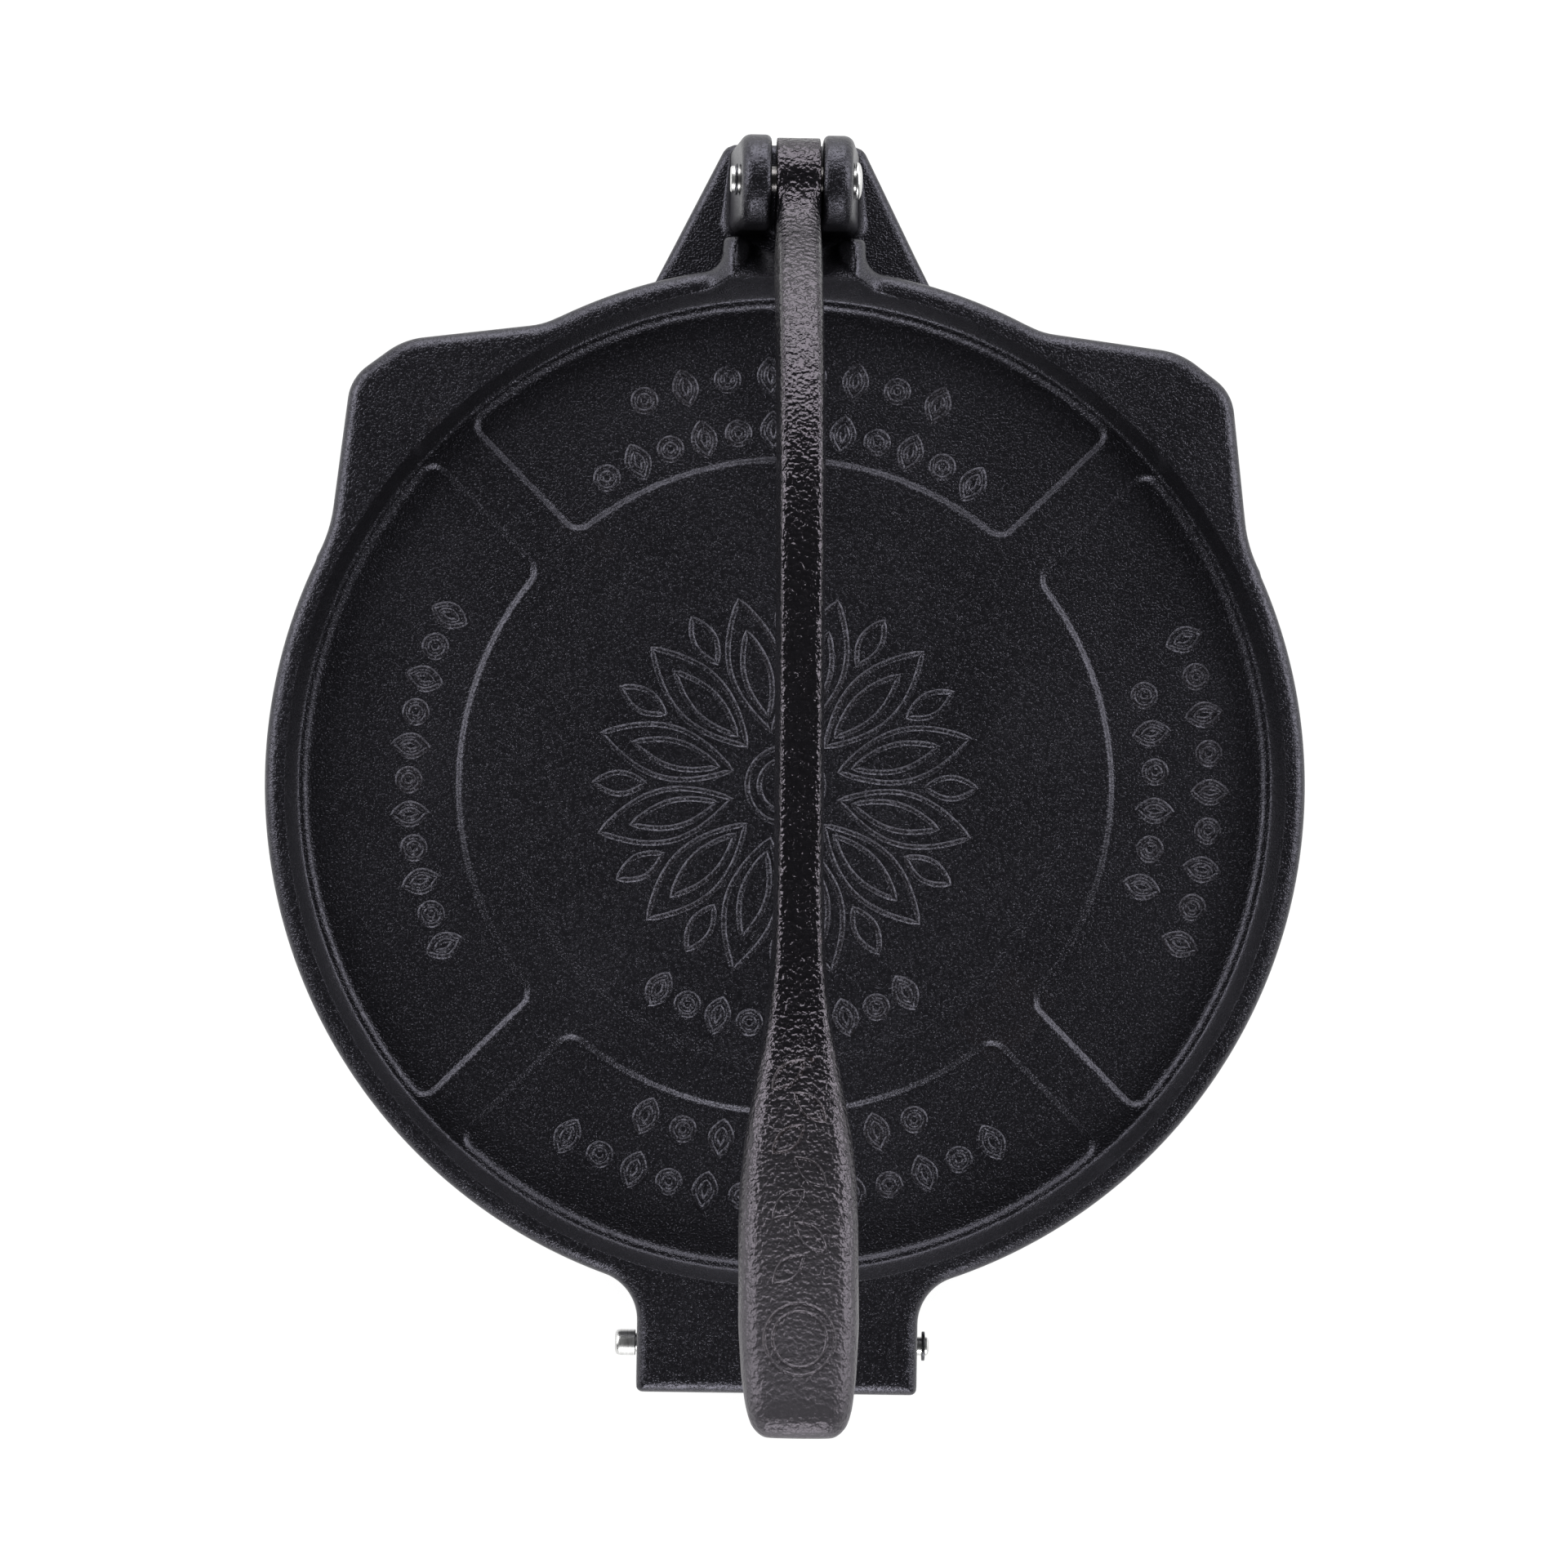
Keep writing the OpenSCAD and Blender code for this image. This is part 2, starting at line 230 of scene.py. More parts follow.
def resample(path, step=None, count=None):
    """The same closed path with evenly spaced points."""
    ring = np.array([tuple(p) for p in (*path, path[0])])
    run = np.concatenate(([0], np.cumsum(np.linalg.norm(np.diff(ring, axis=0), axis=1))))
    count = count or max(3, round(run[-1] / step))
    places = np.linspace(0, run[-1], count + 1)[:count]
    return [Vector([np.interp(s, run, axis) for axis in ring.T]) for s in places]


def outwards(path, i):
    """Direction that points out of a closed path at one of its points."""
    along = (path[(i + 1) % len(path)] - path[i - 1]).normalized()
    return Vector((along.y, -along.x))


def flipped(path):
    """The path's mirror image across the Y axis, run the other way round."""
    return [Vector((-p.x, p.y)) for p in reversed(path)]


def edge_round(steps=6):
    """Points of a rounded edge, as shares of its radius: off the face, and off the side."""
    turns = np.radians(np.linspace(0, 90, steps + 1))
    return [(1 - math.cos(turn), 1 - math.sin(turn)) for turn in turns]


def smoothstep(value, low, high):
    """0 below low, 1 above high, and a smooth rise between."""
    t = np.clip((value - low) / (high - low), 0, 1)
    return t * t * (3 - 2 * t)


def blend_max(a, b, width):
    """The larger of two heights, with a fillet where they meet."""
    share = np.clip(0.5 + 0.5 * (a - b) / width, 0, 1)
    return b + (a - b) * share + width * share * (1 - share)


# --- bmesh helpers -------------------------------------------------------------------

# Edges sharper than these are bevelled, and shaded as sharp
BEVEL_FROM, SHADE_SHARP_FROM = math.radians(50), math.radians(38)
LATHE_STEPS = 48


def skin(bm, rings):
    """Faces between closed rings that all have the same number of points."""
    rows, count = len(rings), len(rings[0])
    grid = bmesh.ops.create_grid(bm, x_segments=count, y_segments=rows - 1, size=1.0)
    verts = grid["verts"]
    places = (ring[i % count] for ring in rings for i in range(count + 1))
    for vert, place in zip(verts, places, strict=True):
        vert.co = place
    width = count + 1
    seam = [verts[row * width + end] for row in range(rows) for end in (0, count)]
    bmesh.ops.remove_doubles(bm, verts=seam, dist=1e-5)


def closed_skin(bm, rings):
    """A skin with a flat face over its first and its last ring."""
    skin(bm, rings)
    bmesh.ops.holes_fill(bm, edges=[e for e in bm.edges if e.is_boundary], sides=0)


def looped_skin(bm, rings):
    """A skin whose last ring runs back into its first."""
    skin(bm, rings + rings[:1])
    bmesh.ops.remove_doubles(bm, verts=bm.verts, dist=1e-4)


def prism(bm, outline, low, high, bevel=0.0, segments=3, holes=()):
    """The outline, given as (y, z), made solid from x = low to x = high.

    Every edge that is sharper than BEVEL_FROM gets a bevel of that width.
    """
    loops = []
    for path in (outline, *holes):
        ring = [bm.verts.new((low, p[0], p[1])) for p in path]
        loops += [bm.edges.new((ring[i - 1], ring[i])) for i in range(len(ring))]
    flat = bmesh.ops.triangle_fill(bm, use_beauty=True, use_dissolve=False, edges=loops)
    faces = [g for g in flat["geom"] if isinstance(g, bmesh.types.BMFace)]
    moved = bmesh.ops.extrude_face_region(bm, geom=faces, use_keep_orig=True)
    top = [g for g in moved["geom"] if isinstance(g, bmesh.types.BMVert)]
    bmesh.ops.translate(bm, verts=top, vec=(high - low, 0, 0))
    bmesh.ops.recalc_face_normals(bm, faces=bm.faces)
    if not bevel:
        return
    sharp = [e for e in bm.edges if e.is_manifold and e.calc_face_angle(0) > BEVEL_FROM]
    bmesh.ops.bevel(
        bm, geom=sharp, offset=bevel, offset_type="OFFSET", segments=segments,
        profile=0.5, affect="EDGES", clamp_overlap=True, material=-1,
    )


def lathe(bm, profile, start):
    """A turned solid about the X axis through start; profile holds (x, radius)."""
    verts = [bm.verts.new(start + Vector((x, radius, 0))) for x, radius in profile]
    edges = [bm.edges.new(pair) for pair in zip(verts, verts[1:])]
    bmesh.ops.spin(
        bm, geom=verts + edges, cent=start, axis=(1, 0, 0), angle=2 * math.pi,
        steps=LATHE_STEPS, use_merge=True,
    )
    bmesh.ops.remove_doubles(bm, verts=bm.verts, dist=1e-4)


def as_mesh(bm, name="part"):
    """The bmesh as a mesh; the bmesh itself is freed."""
    mesh = bpy.data.meshes.new(name)
    bm.to_mesh(mesh)
    bm.free()
    return mesh


def part(build, *values):
    """A closed shell of its own, as a mesh, from a function that fills a bmesh."""
    bm = bmesh.new()
    build(bm, *values)
    bmesh.ops.recalc_face_normals(bm, faces=bm.faces)
    return as_mesh(bm)


def join(bm, meshes):
    """Adds finished shells to a bmesh."""
    for mesh in meshes:
        bm.from_mesh(mesh)
        bpy.data.meshes.remove(mesh)


def gathered(*meshes):
    """A new bmesh that holds finished shells."""
    bm = bmesh.new()
    join(bm, meshes)
    return bm


def new_object(name, data):
    """An object of its own in the scene."""
    thing = bpy.data.objects.new(name, data)
    bpy.context.scene.collection.objects.link(thing)
    return thing


def add_piece(name, bm, material, body, slot, *nodes):
    """The finished piece, in metres, riding on its body in place of its node."""
    bmesh.ops.scale(bm, vec=(MM, MM, MM), verts=bm.verts)
    for face in bm.faces:
        face.smooth = True
    for edge in bm.edges:
        edge.smooth = edge.calc_face_angle(0) < SHADE_SHARP_FROM
    mesh = as_mesh(bm, name)
    mesh.materials.append(material)
    piece = new_object(name, mesh)
    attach(piece, body)
    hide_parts(*nodes)


def through_modifiers(bm, *modifiers):
    """The bmesh after a list of (kind, settings) modifiers."""
    mesh = as_mesh(bm, "work")
    worker = new_object("work", mesh)
    for kind, values in modifiers:
        modifier = worker.modifiers.new(kind, kind)
        for key, value in values.items():
            setattr(modifier, key, value)
    graph = bpy.context.evaluated_depsgraph_get()
    done = bmesh.new()
    done.from_mesh(worker.evaluated_get(graph).to_mesh())
    bpy.data.objects.remove(worker)
    bpy.data.meshes.remove(mesh)
    return done


def cut(bm, cutter_mesh):
    """Takes one closed shell out of another."""
    cutter = new_object("cutter", cutter_mesh)
    values = {"operation": "DIFFERENCE", "object": cutter, "solver": "EXACT"}
    result = through_modifiers(bm, ("BOOLEAN", values))
    bpy.data.objects.remove(cutter)
    bpy.data.meshes.remove(cutter_mesh)
    return result


# --- the plates' outlines, from the plates' centre -----------------------------------

# Right shoulder from its lower to its upper end: x, y and the corner's radius
SHOULDER = [(98.2, 52.4, 30), (94.3, 85.6, 10), (83.1, 94.0, 16), (53.0, 97.85, 16)]
TAB_HALF, TAB_END = 30.0, -130.0
TAB_FILLET, TAB_CORNER = 10.5, 1.4
NOSE_HALF, NOSE_END, NOSE_FLARE = 15.2, 116.7, 4.0
NOSE_CORNER, HORN_CORNER = 1.2, 0.8
LEVER_END_Y = 100  # past this a plate holds the nose or the tongue
NOTCH_Y, NOTCH_R = 127.8, 14.6
TONGUE_HALF, TONGUE_TIP, TONGUE_END = 30.2, 14.6, 138.1
TONGUE_CORNER = 3.4


def mirrored(half):
    """A closed outline from its right half, given from the bottom to the top."""
    return half + flipped(half)


def shoulder_points(inset=0.0):
    """The right shoulder as a smooth path, from its lower end to its upper end.

    Its ends run into the round rim, so the path leaves each along the rim's tangent.
    """
    middle, corner_share, tangent = Vector((70, 70)), 1.15, 20
    first, *corners, last = (Vector(point[:2]) for point in SHOULDER)
    corners = [p + (middle - p).normalized() * inset * corner_share for p in corners]
    first = first * (1 - inset / first.length)
    last = last * (1 - inset / last.length)
    before = first + Vector((first.y, -first.x)).normalized() * tangent
    after = last + Vector((-last.y, last.x)).normalized() * tangent
    points = [before, first, *corners, last, after]
    path = []
    for i, (_, _, radius) in enumerate(SHOULDER):
        path += corner(points[i], points[i + 1], points[i + 2], radius, 12)
    return path


def lid_outline(radius):
    """The lid in plan: round rim, shoulders, hinge tab and nose."""
    tab_y = -math.sqrt((radius + TAB_FILLET) ** 2 - (TAB_HALF + TAB_FILLET) ** 2)
    tab_centre = (TAB_HALF + TAB_FILLET, tab_y)
    tab_from = bearing(tab_centre)
    nose_y = math.sqrt((radius + NOSE_FLARE) ** 2 - (NOSE_HALF + NOSE_FLARE) ** 2)
    nose_centre = (NOSE_HALF + NOSE_FLARE, nose_y)
    nose_to = bearing(nose_centre)
    shoulder = shoulder_points()
    low, high = bearing(shoulder[0]), bearing(shoulder[-1])
    notch_x = math.sqrt(NOTCH_R**2 - (NOTCH_Y - NOSE_END) ** 2)
    notch_from = bearing((notch_x, NOSE_END - NOTCH_Y))
    tip = (NOSE_HALF, NOSE_END)
    half = [Vector((0, TAB_END))]
    half += corner((0, TAB_END), (TAB_HALF, TAB_END), (TAB_HALF, tab_y), TAB_CORNER)
    half += arc(tab_centre, TAB_FILLET, 180, 180 + tab_from, 20)
    half += arc((0, 0), radius, tab_from, low, 200)
    half += shoulder
    half += arc((0, 0), radius, high, nose_to, 40)
    half += arc(nose_centre, NOSE_FLARE, 180 + nose_to, 180, 12)
    half += corner((NOSE_HALF, nose_y), tip, (notch_x, NOSE_END), NOSE_CORNER)
    half += corner(tip, (notch_x, NOSE_END), (notch_x - 1, NOSE_END - 1.25), HORN_CORNER)
    half += arc((0, NOTCH_Y), NOTCH_R, notch_from - 3.5, -90, 24)
    return mirrored(half)


def base_outline(radius, inset):
    """The base in plan: round edge, shoulders and the tongue under the ears."""
    shoulder = shoulder_points(inset)
    low, high = bearing(shoulder[0]), bearing(shoulder[-1])
    root = (TONGUE_HALF, math.sqrt(radius**2 - TONGUE_HALF**2))
    tip = (TONGUE_TIP, TONGUE_END)
    leave = bearing((root[0] + 1.2, root[1] - 0.4))
    half = arc((0, 0), radius, -90, low, 240) + shoulder
    half += arc((0, 0), radius, high, leave, 40)
    half += [Vector(root) + Vector((-0.3, 1.2))]
    half += corner(root, tip, (0, TONGUE_END), TONGUE_CORNER, 10)
    half += [Vector((0, TONGUE_END))]
    return mirrored(half)


class PlateGrid:
    """Lines that run outwards from a plate's centre to its outline, and rings on them."""

    SPACING = 0.6  # degrees between two lines, where dense doesn't ask for more
    REACH_IN = 13  # how far inside the outline depths are known
    DEPTHS = 40  # known depths on each line, closer together near the outline

    def __init__(self, outline, dense, centre_y):
        self.centre_y = centre_y
        self.outline = np.array([tuple(p) for p in resample(outline, step=0.4)])
        angles = np.sort(np.concatenate((np.arange(-180, 180, self.SPACING), *dense)))
        angles = angles[np.concatenate(([True], np.diff(angles) > 0.05))]
        self.angles = np.radians(angles)
        direction = np.arctan2(self.outline[:, 1], self.outline[:, 0])
        reach = np.hypot(self.outline[:, 0], self.outline[:, 1])
        self.reach = np.interp(self.angles, direction, reach, period=2 * math.pi)
        self.insets = self.REACH_IN * (np.arange(self.DEPTHS) / (self.DEPTHS - 1)) ** 1.4
        self.depths = np.array([self.depth(self.reach - i) for i in self.insets])

    def depth(self, radii):
        """How far points on the lines lie inside the outline."""
        x, y = self.plan(radii)
        points = np.stack((x, y), axis=1)[:, None, :]
        start = self.outline[None]
        along = np.roll(self.outline, -1, axis=0)[None] - start
        share = ((points - start) * along).sum(-1) / (along**2).sum(-1)
        share = np.clip(share, 0, 1)[..., None]
        return np.linalg.norm(points - start - share * along, axis=-1).min(1)

    def inside(self, depth):
        """Radius on each line at which a point lies that far inside the outline."""
        columns = np.maximum.accumulate(self.depths, axis=0).T
        depths = np.broadcast_to(depth, self.reach.shape)
        inset = [np.interp(d, column, self.insets) for d, column in zip(depths, columns)]
        return self.reach - np.array(inset)

    def plan(self, radii, follow=None):
        """x and y on each line; follow bends the lines to run along the spokes."""
        angles = self.angles if follow is None else follow(self.angles, radii)
        return radii * np.cos(angles), radii * np.sin(angles)

    def ring(self, x, y, z):
        """Points of one ring, in the press's own frame."""
        return list(zip(x, y + self.centre_y, np.broadcast_to(z, x.shape)))

    def at_radius(self, radius, z):
        """A ring at one radius."""
        return self.ring(*self.plan(np.full_like(self.reach, radius)), z)

    def at_depth(self, depth, z):
        """A ring at a depth inside the outline."""
        return self.ring(*self.plan(self.inside(depth)), z)


def at_lever_end(x, y, low, high):
    """1 along the middle of the nose or tongue, and 0 beside it and everywhere else."""
    return (1 - smoothstep(np.abs(x), low, high)) * (y > LEVER_END_Y)


def along_spokes(straight_at, half_width):
    """Bends the lines between two spokes so that those beside a spoke run parallel to it."""
    margin = math.asin(half_width / straight_at)

    def follow(angles, radii):
        nearest = np.round((angles - math.pi / 4) / (math.pi / 2)) * math.pi / 2 + math.pi / 4
        off = angles - nearest
        side = np.sign(off)
        off = np.abs(off)
        radius = np.minimum(radii, straight_at)
        near = np.arcsin(np.clip(straight_at * np.sin(np.minimum(off, margin)) / radius, 0, 1))
        share = np.clip((off - margin) / (math.pi / 4 - margin), 0, 1)
        return nearest + side * (near + share * (math.pi / 4 - near))

    return follow


# --- the lid -------------------------------------------------------------------------

WALL_RISE = 3.0  # rise of the dish's leaning wall for each millimetre outwards
HUB_DROP = 0.35  # how far the hub's floor lies below the ring's top
CREST_RISE, NOSE_ROOT = 5.0, 2.0  # the nose's crest above the rim, and its foot below
HORN_FROM, HORN_LEAN = 13.3, 0.22  # where the horns stand beside the hollow
HOLLOW_HALF, CREST_ROUND, NOSE_FILLET = 12, 0.35, 2.6
HOLLOW_FALL, HORN_FALL = 1.36, 0.14  # how steeply each falls behind the crest
NOSE_SIDE = (12.7, 20.5)  # x between which the nose comes down to the rim
SPOKE_REACH, SPOKE_BAND = 100.0, 9.9  # where the grid's lines run along the spokes
# The hinge: half of the lug's width, where a knuckle starts and ends, and the radii of
# the lug, of a knuckle, of the room cleared for the lug and of the bore
LUG_HALF, CHEEK_IN, CHEEK_OUT = 19.5, 20.0, 29.85
LUG_R, CHEEK_R, LUG_ROOM_R, HINGE_BORE = 6.0, 7.0, 6.6, 2.05


def pad_share(x, y, sizes):
    """1 on the four recessed pads and 0 on the ring and spokes between them."""
    round_corner, slope, off_wall = 4.0, 1.5, 3.3
    radius = np.hypot(x, y)
    off_spoke = np.abs(np.abs(x) - np.abs(y)) / math.sqrt(2)
    edges = (radius - sizes.ring, off_spoke - sizes.spoke / 2, sizes.lip - off_wall - radius)
    short = [np.maximum(round_corner - edge, 0) for edge in edges]
    depth = round_corner - np.sqrt(sum(s**2 for s in short))
    return smoothstep(depth, 0, slope)


def dish_height(radius, top, soft, sizes):
    """Floor, fillet and leaning wall, up to a top that may vary, with a rounded edge."""
    fillet = sizes.fillet
    lean = math.atan(WALL_RISE)
    foot = sizes.lip - (sizes.rim - sizes.floor) / WALL_RISE
    start = foot - fillet * math.tan(lean / 2)
    bend = np.clip(radius - start, 0, fillet * math.sin(lean))
    curved = sizes.floor + fillet - np.sqrt(fillet**2 - bend**2)
    wall = sizes.rim + WALL_RISE * (radius - sizes.lip)
    height = np.where(radius < start + fillet * math.sin(lean), curved, wall)
    return -blend_max(-height, -top, soft)


def nose_top(x, y, sizes):
    """Height of the nose between the ears: straight crest, two horns and a hollow."""
    rim, off = sizes.rim, np.abs(x)
    behind = np.maximum(y - sizes.lip - CREST_RISE / WALL_RISE, 0)
    horn_edge = HORN_FROM - behind * HORN_LEAN
    horn = smoothstep(off, horn_edge - 2.6, horn_edge + 0.5)
    fall = HOLLOW_FALL * behind**2 / (behind + CREST_ROUND)
    top = rim + CREST_RISE - (1 - horn) * fall - horn * HORN_FALL * behind
    side = smoothstep(off, *NOSE_SIDE) ** 0.8
    nose = rim - NOSE_ROOT + (top - rim + NOSE_ROOT) * (1 - side)
    hollow = (behind > 0) & (off < HOLLOW_HALF)
    return np.where(hollow, nose, blend_max(np.full_like(x, rim), nose, NOSE_FILLET))


def lid_height(x, y, sizes):
    """Height of the lid's upper side, before its outer edge is rounded."""
    radius, off = np.hypot(x, y), np.abs(x)
    near_nose = (y > LEVER_END_Y) & (off < 24)
    # In front of the nose the round wall turns into a straight one
    set_back = 0.4
    straight = at_lever_end(x, y, 12, 18) * smoothstep(radius, sizes.lip - 1.5, sizes.lip + 0.6)
    across = radius + straight * (y + set_back - radius)
    top = np.where(near_nose, nose_top(x, y, sizes), sizes.rim)
    hub = smoothstep(radius, sizes.hub - 2.2, sizes.hub + 1.4)
    ribs = sizes.floor + sizes.rib * (1 - pad_share(x, y, sizes)) - HUB_DROP * (1 - hub)
    # The wall's upper edge is rounder beside the horns
    wall_round, rounder = 0.45, 1.6
    beside_horns = smoothstep(off, 11, 14.5) - smoothstep(off, 18, 23)
    soft = wall_round + rounder * near_nose * beside_horns
    return np.maximum(dish_height(across, top, soft, sizes), ribs)


def dish_steps(sizes):
    """Radii of the dish's rings: close together wherever its height changes."""
    hub, ring, lip = sizes.hub, sizes.ring, sizes.lip
    steps = [hub + off for off in (-3.2, -2.2, -1.4, -0.7, 0, 0.7, 1.4, 3.0)]
    steps += [*(ring + np.arange(-1.2, 4.6, 0.33)), ring + 5.3, ring + 6.6, ring + 9]
    steps += [84, 90, 94.5, 97.2, *np.arange(98.4, 103.0, 0.55)]
    return steps + [*np.arange(103.2, lip - 0.6, 0.4), *np.arange(lip - 0.5, lip + 0.7, 0.2)]


def lid_rings(sizes):
    """Rings of the lid from the hub, over the rim and down to the press face."""
    # The grid's lines lie closer together beside the spokes and at the tab and nose
    spokes = np.degrees(np.arcsin(np.arange(2.8, 10.5, 0.36) / SPOKE_REACH))
    dense = [centre + side * spokes for centre in (-135, -45, 45, 135) for side in (-1, 1)]
    dense += [-90 + side * np.arange(12.4, 20.5, 0.13) for side in (-1, 1)]
    dense += [90 + side * np.arange(3.8, 12.5, 0.15) for side in (-1, 1)]
    grid = PlateGrid(lid_outline(sizes.radius), dense, sizes.centre_y)
    follow = along_spokes(SPOKE_REACH, SPOKE_BAND)
    steps = dish_steps(sizes)
    rings = []
    for step in steps:
        x, y = grid.plan(np.full_like(grid.reach, step), follow)
        rings.append(grid.ring(x, y, lid_height(x, y, sizes)))

    def rim_ring(radii):
        """A ring of the rim, lowered by the rounding of the outer edge."""
        x, y = grid.plan(radii)
        rounding = sizes.rim_round - 1.3 * at_lever_end(x, y, 15.5, 19)
        short = np.maximum(rounding - grid.depth(radii), 0)
        drop = rounding - np.sqrt(np.maximum(rounding**2 - short**2, 0))
        return grid.ring(x, y, lid_height(x, y, sizes) - drop)

    inner = np.full_like(grid.reach, steps[-1])
    room = np.minimum(sizes.rim_round, grid.depth(inner + 0.6))
    outer = grid.inside(room)
    for share in np.linspace(0, 1, 11)[1:-1]:
        rings.append(rim_ring(inner + share * (outer - inner)))
    for share in 1 - np.sin(np.radians(np.arange(0, 91, 11.25))):
        rings.append(rim_ring(grid.inside(room * share)))
    x, y = grid.plan(grid.reach)
    # Underneath, the nose lies a little higher than the press face
    low = sizes.lid_face + 1.5 * at_lever_end(x, y, 14, 22)
    for depth, lift in ((0.0, 0.7), (0.2, 0.2), (0.7, 0.0)):
        rings.append(grid.at_depth(depth, low + lift))
    return rings + [grid.at_radius(sizes.radius - 3, sizes.lid_face)]


def circle_yz(centre, radius, steps=40):
    """A circle round the X direction."""
    return arc((centre.y, centre.z), radius, 0, 360 - 360 / steps, steps - 1)


def fill_bore(bm, centre, radius, low, high, steps=40):
    """What is drilled out for a pin or cleared for a barrel."""
    prism(bm, circle_yz(centre, radius, steps), low, high)


def fill_cheek(bm, side, top):
    """One of the lid's knuckles, bored for the hinge pin."""
    y, z = HINGE.y, HINGE.z
    outline = arc((y, z), CHEEK_R, 180, 360, 24) + [(y + CHEEK_R, top), (y - CHEEK_R, top)]
    low, high = sorted((side * CHEEK_IN, side * CHEEK_OUT))
    prism(bm, outline, low, high, 0.7, 3, holes=[circle_yz(HINGE, HINGE_BORE)])


# A raised line's section: across as shares of half its width, up as shares of its height
RIDGE_SECTION = ((1, -0.1), (0.2, 1), (-0.2, 1), (-1, -0.1))


def fill_ridge(bm, path, centre_y, floor, width, height):
    """A low raised line along a closed path."""
    loops = [[] for _ in RIDGE_SECTION]
    for i, point in enumerate(path):
        for loop, (off, up) in zip(loops, RIDGE_SECTION):
            place = point + outwards(path, i) * off * width / 2
            loop.append((place.x, place.y + centre_y, floor + up * height))
    looped_skin(bm, loops)


def fill_ridges(bm, paths, *values):
    """Raised lines, each a shell of its own."""
    join(bm, [part(fill_ridge, path, *values) for path in paths])


def leaf(length_mm, width_mm, steps=14):
    """A pointed leaf about the origin, along Y."""
    side = []
    for t in np.linspace(0, 1, steps + 1):
        half = width_mm / 2 * math.sin(math.pi * t) ** 0.9
        side.append(Vector((half, length_mm * (t - 0.5))))
    return side + flipped(side[1:-1])


def placed(path, radius, angle):
    """A motif moved out from the plates' centre and turned to face it."""
    spin = Matrix.Rotation(angle - math.pi / 2, 2)
    centre = Vector((radius * math.cos(angle), radius * math.sin(angle)))
    return [centre + spin @ p for p in path]


# Rows of motifs on the lid: radius, middle and half of the span in degrees, and count
MOTIF_ROWS = [
    (88.0, 90, 21, 8), (76.3, 90, 31, 12), (80.8, 180, 26, 11), (91.4, 0, 21, 9),
    (79.6, 0, 15, 6), (76.9, 270, 22, 8), (88.6, 270, 31, 13),
]
HUB_ROW = (51.4, 270, 31, 9)
MOTIF_HIGH = 7.6
ROW_LINE, ROSETTE_LINE, GRIP_LINE = (1.2, 0.31), (1.25, 0.32), (1.0, 0.38)  # width, height


def row_paths(radius, middle, span, count):
    """Outlines of leaves and rings in turn along one arc."""
    leaves = (leaf(MOTIF_HIGH, 4.6), leaf(MOTIF_HIGH * 0.55, 2.0, 8))
    rings = (arc((0, 0), 2.4, 0, 345, 23), arc((0, 0), 1.15, 0, 337.5, 15))
    paths = []
    for i in range(count):
        angle = math.radians(middle - span + 2 * span * i / (count - 1))
        paths += [placed(path, radius, angle) for path in (rings if i % 2 else leaves)]
    return paths


def rosette_paths():
    """Outlines of the many-petalled flower in the middle of the lid."""
    paths = [arc((0, 0), 8.2, 0, 354, 59), arc((0, 0), 5.6, 0, 351, 39)]
    for i in range(12):
        angle = math.radians(15 + 30 * i)
        paths.append(placed(leaf(29.0, 11.0, 24), 26.5, angle))
        paths.append(placed(leaf(19.0, 5.6, 18), 24.5, angle))
        paths.append(placed(leaf(11.0, 4.6, 14), 35.6, angle + math.radians(15)))
    return paths


def make_lid():
    """The lid casting with its knuckles and ornament."""
    sizes = plate_sizes()
    shell = gathered(part(closed_skin, lid_rings(sizes)))
    shell = cut(shell, part(fill_bore, HINGE, LUG_ROOM_R, -CHEEK_IN, CHEEK_IN, 64))
    join(shell, [part(fill_cheek, side, sizes.lid_face + 2) for side in (-1, 1)])
    hub_floor = sizes.floor + sizes.rib - HUB_DROP
    ornament = [(row_paths(*row), sizes.floor, ROW_LINE) for row in MOTIF_ROWS]
    ornament += [(row_paths(*HUB_ROW), hub_floor, ROW_LINE)]
    ornament += [(rosette_paths(), hub_floor, ROSETTE_LINE)]
    for paths, floor, line in ornament:
        join(shell, [part(fill_ridges, paths, sizes.centre_y, floor, *line)])
    add_piece("lid_casting", shell, plate_iron("Lid iron"), "lid", "lid_iron", "lid_plate")


# --- the base ------------------------------------------------------------------------

# Heights of the press face, the web behind it, and the lower edges round it
FACE_Z, WEB_Z = 16.0, 11.5
SKIRT_Z, TONGUE_Z, SHOULDER_Z = 5.5, 7.0, 9.0
RIB_ROOT_Z = WEB_Z + 0.5  # ribs and feet start inside the web
FOOT_OUT = 92  # of a foot's middle from the plate's centre
# An ear: x of both faces at the pivot, lean of the outer one, radius and edge rounds
EAR_IN, EAR_OUT, EAR_DRAFT, EAR_R = 5.45, 12.15, 0.07, 9.5
EAR_ROUND_IN, EAR_ROUND_OUT = 1.3, 2.3
PIVOT_BORE = 2.85


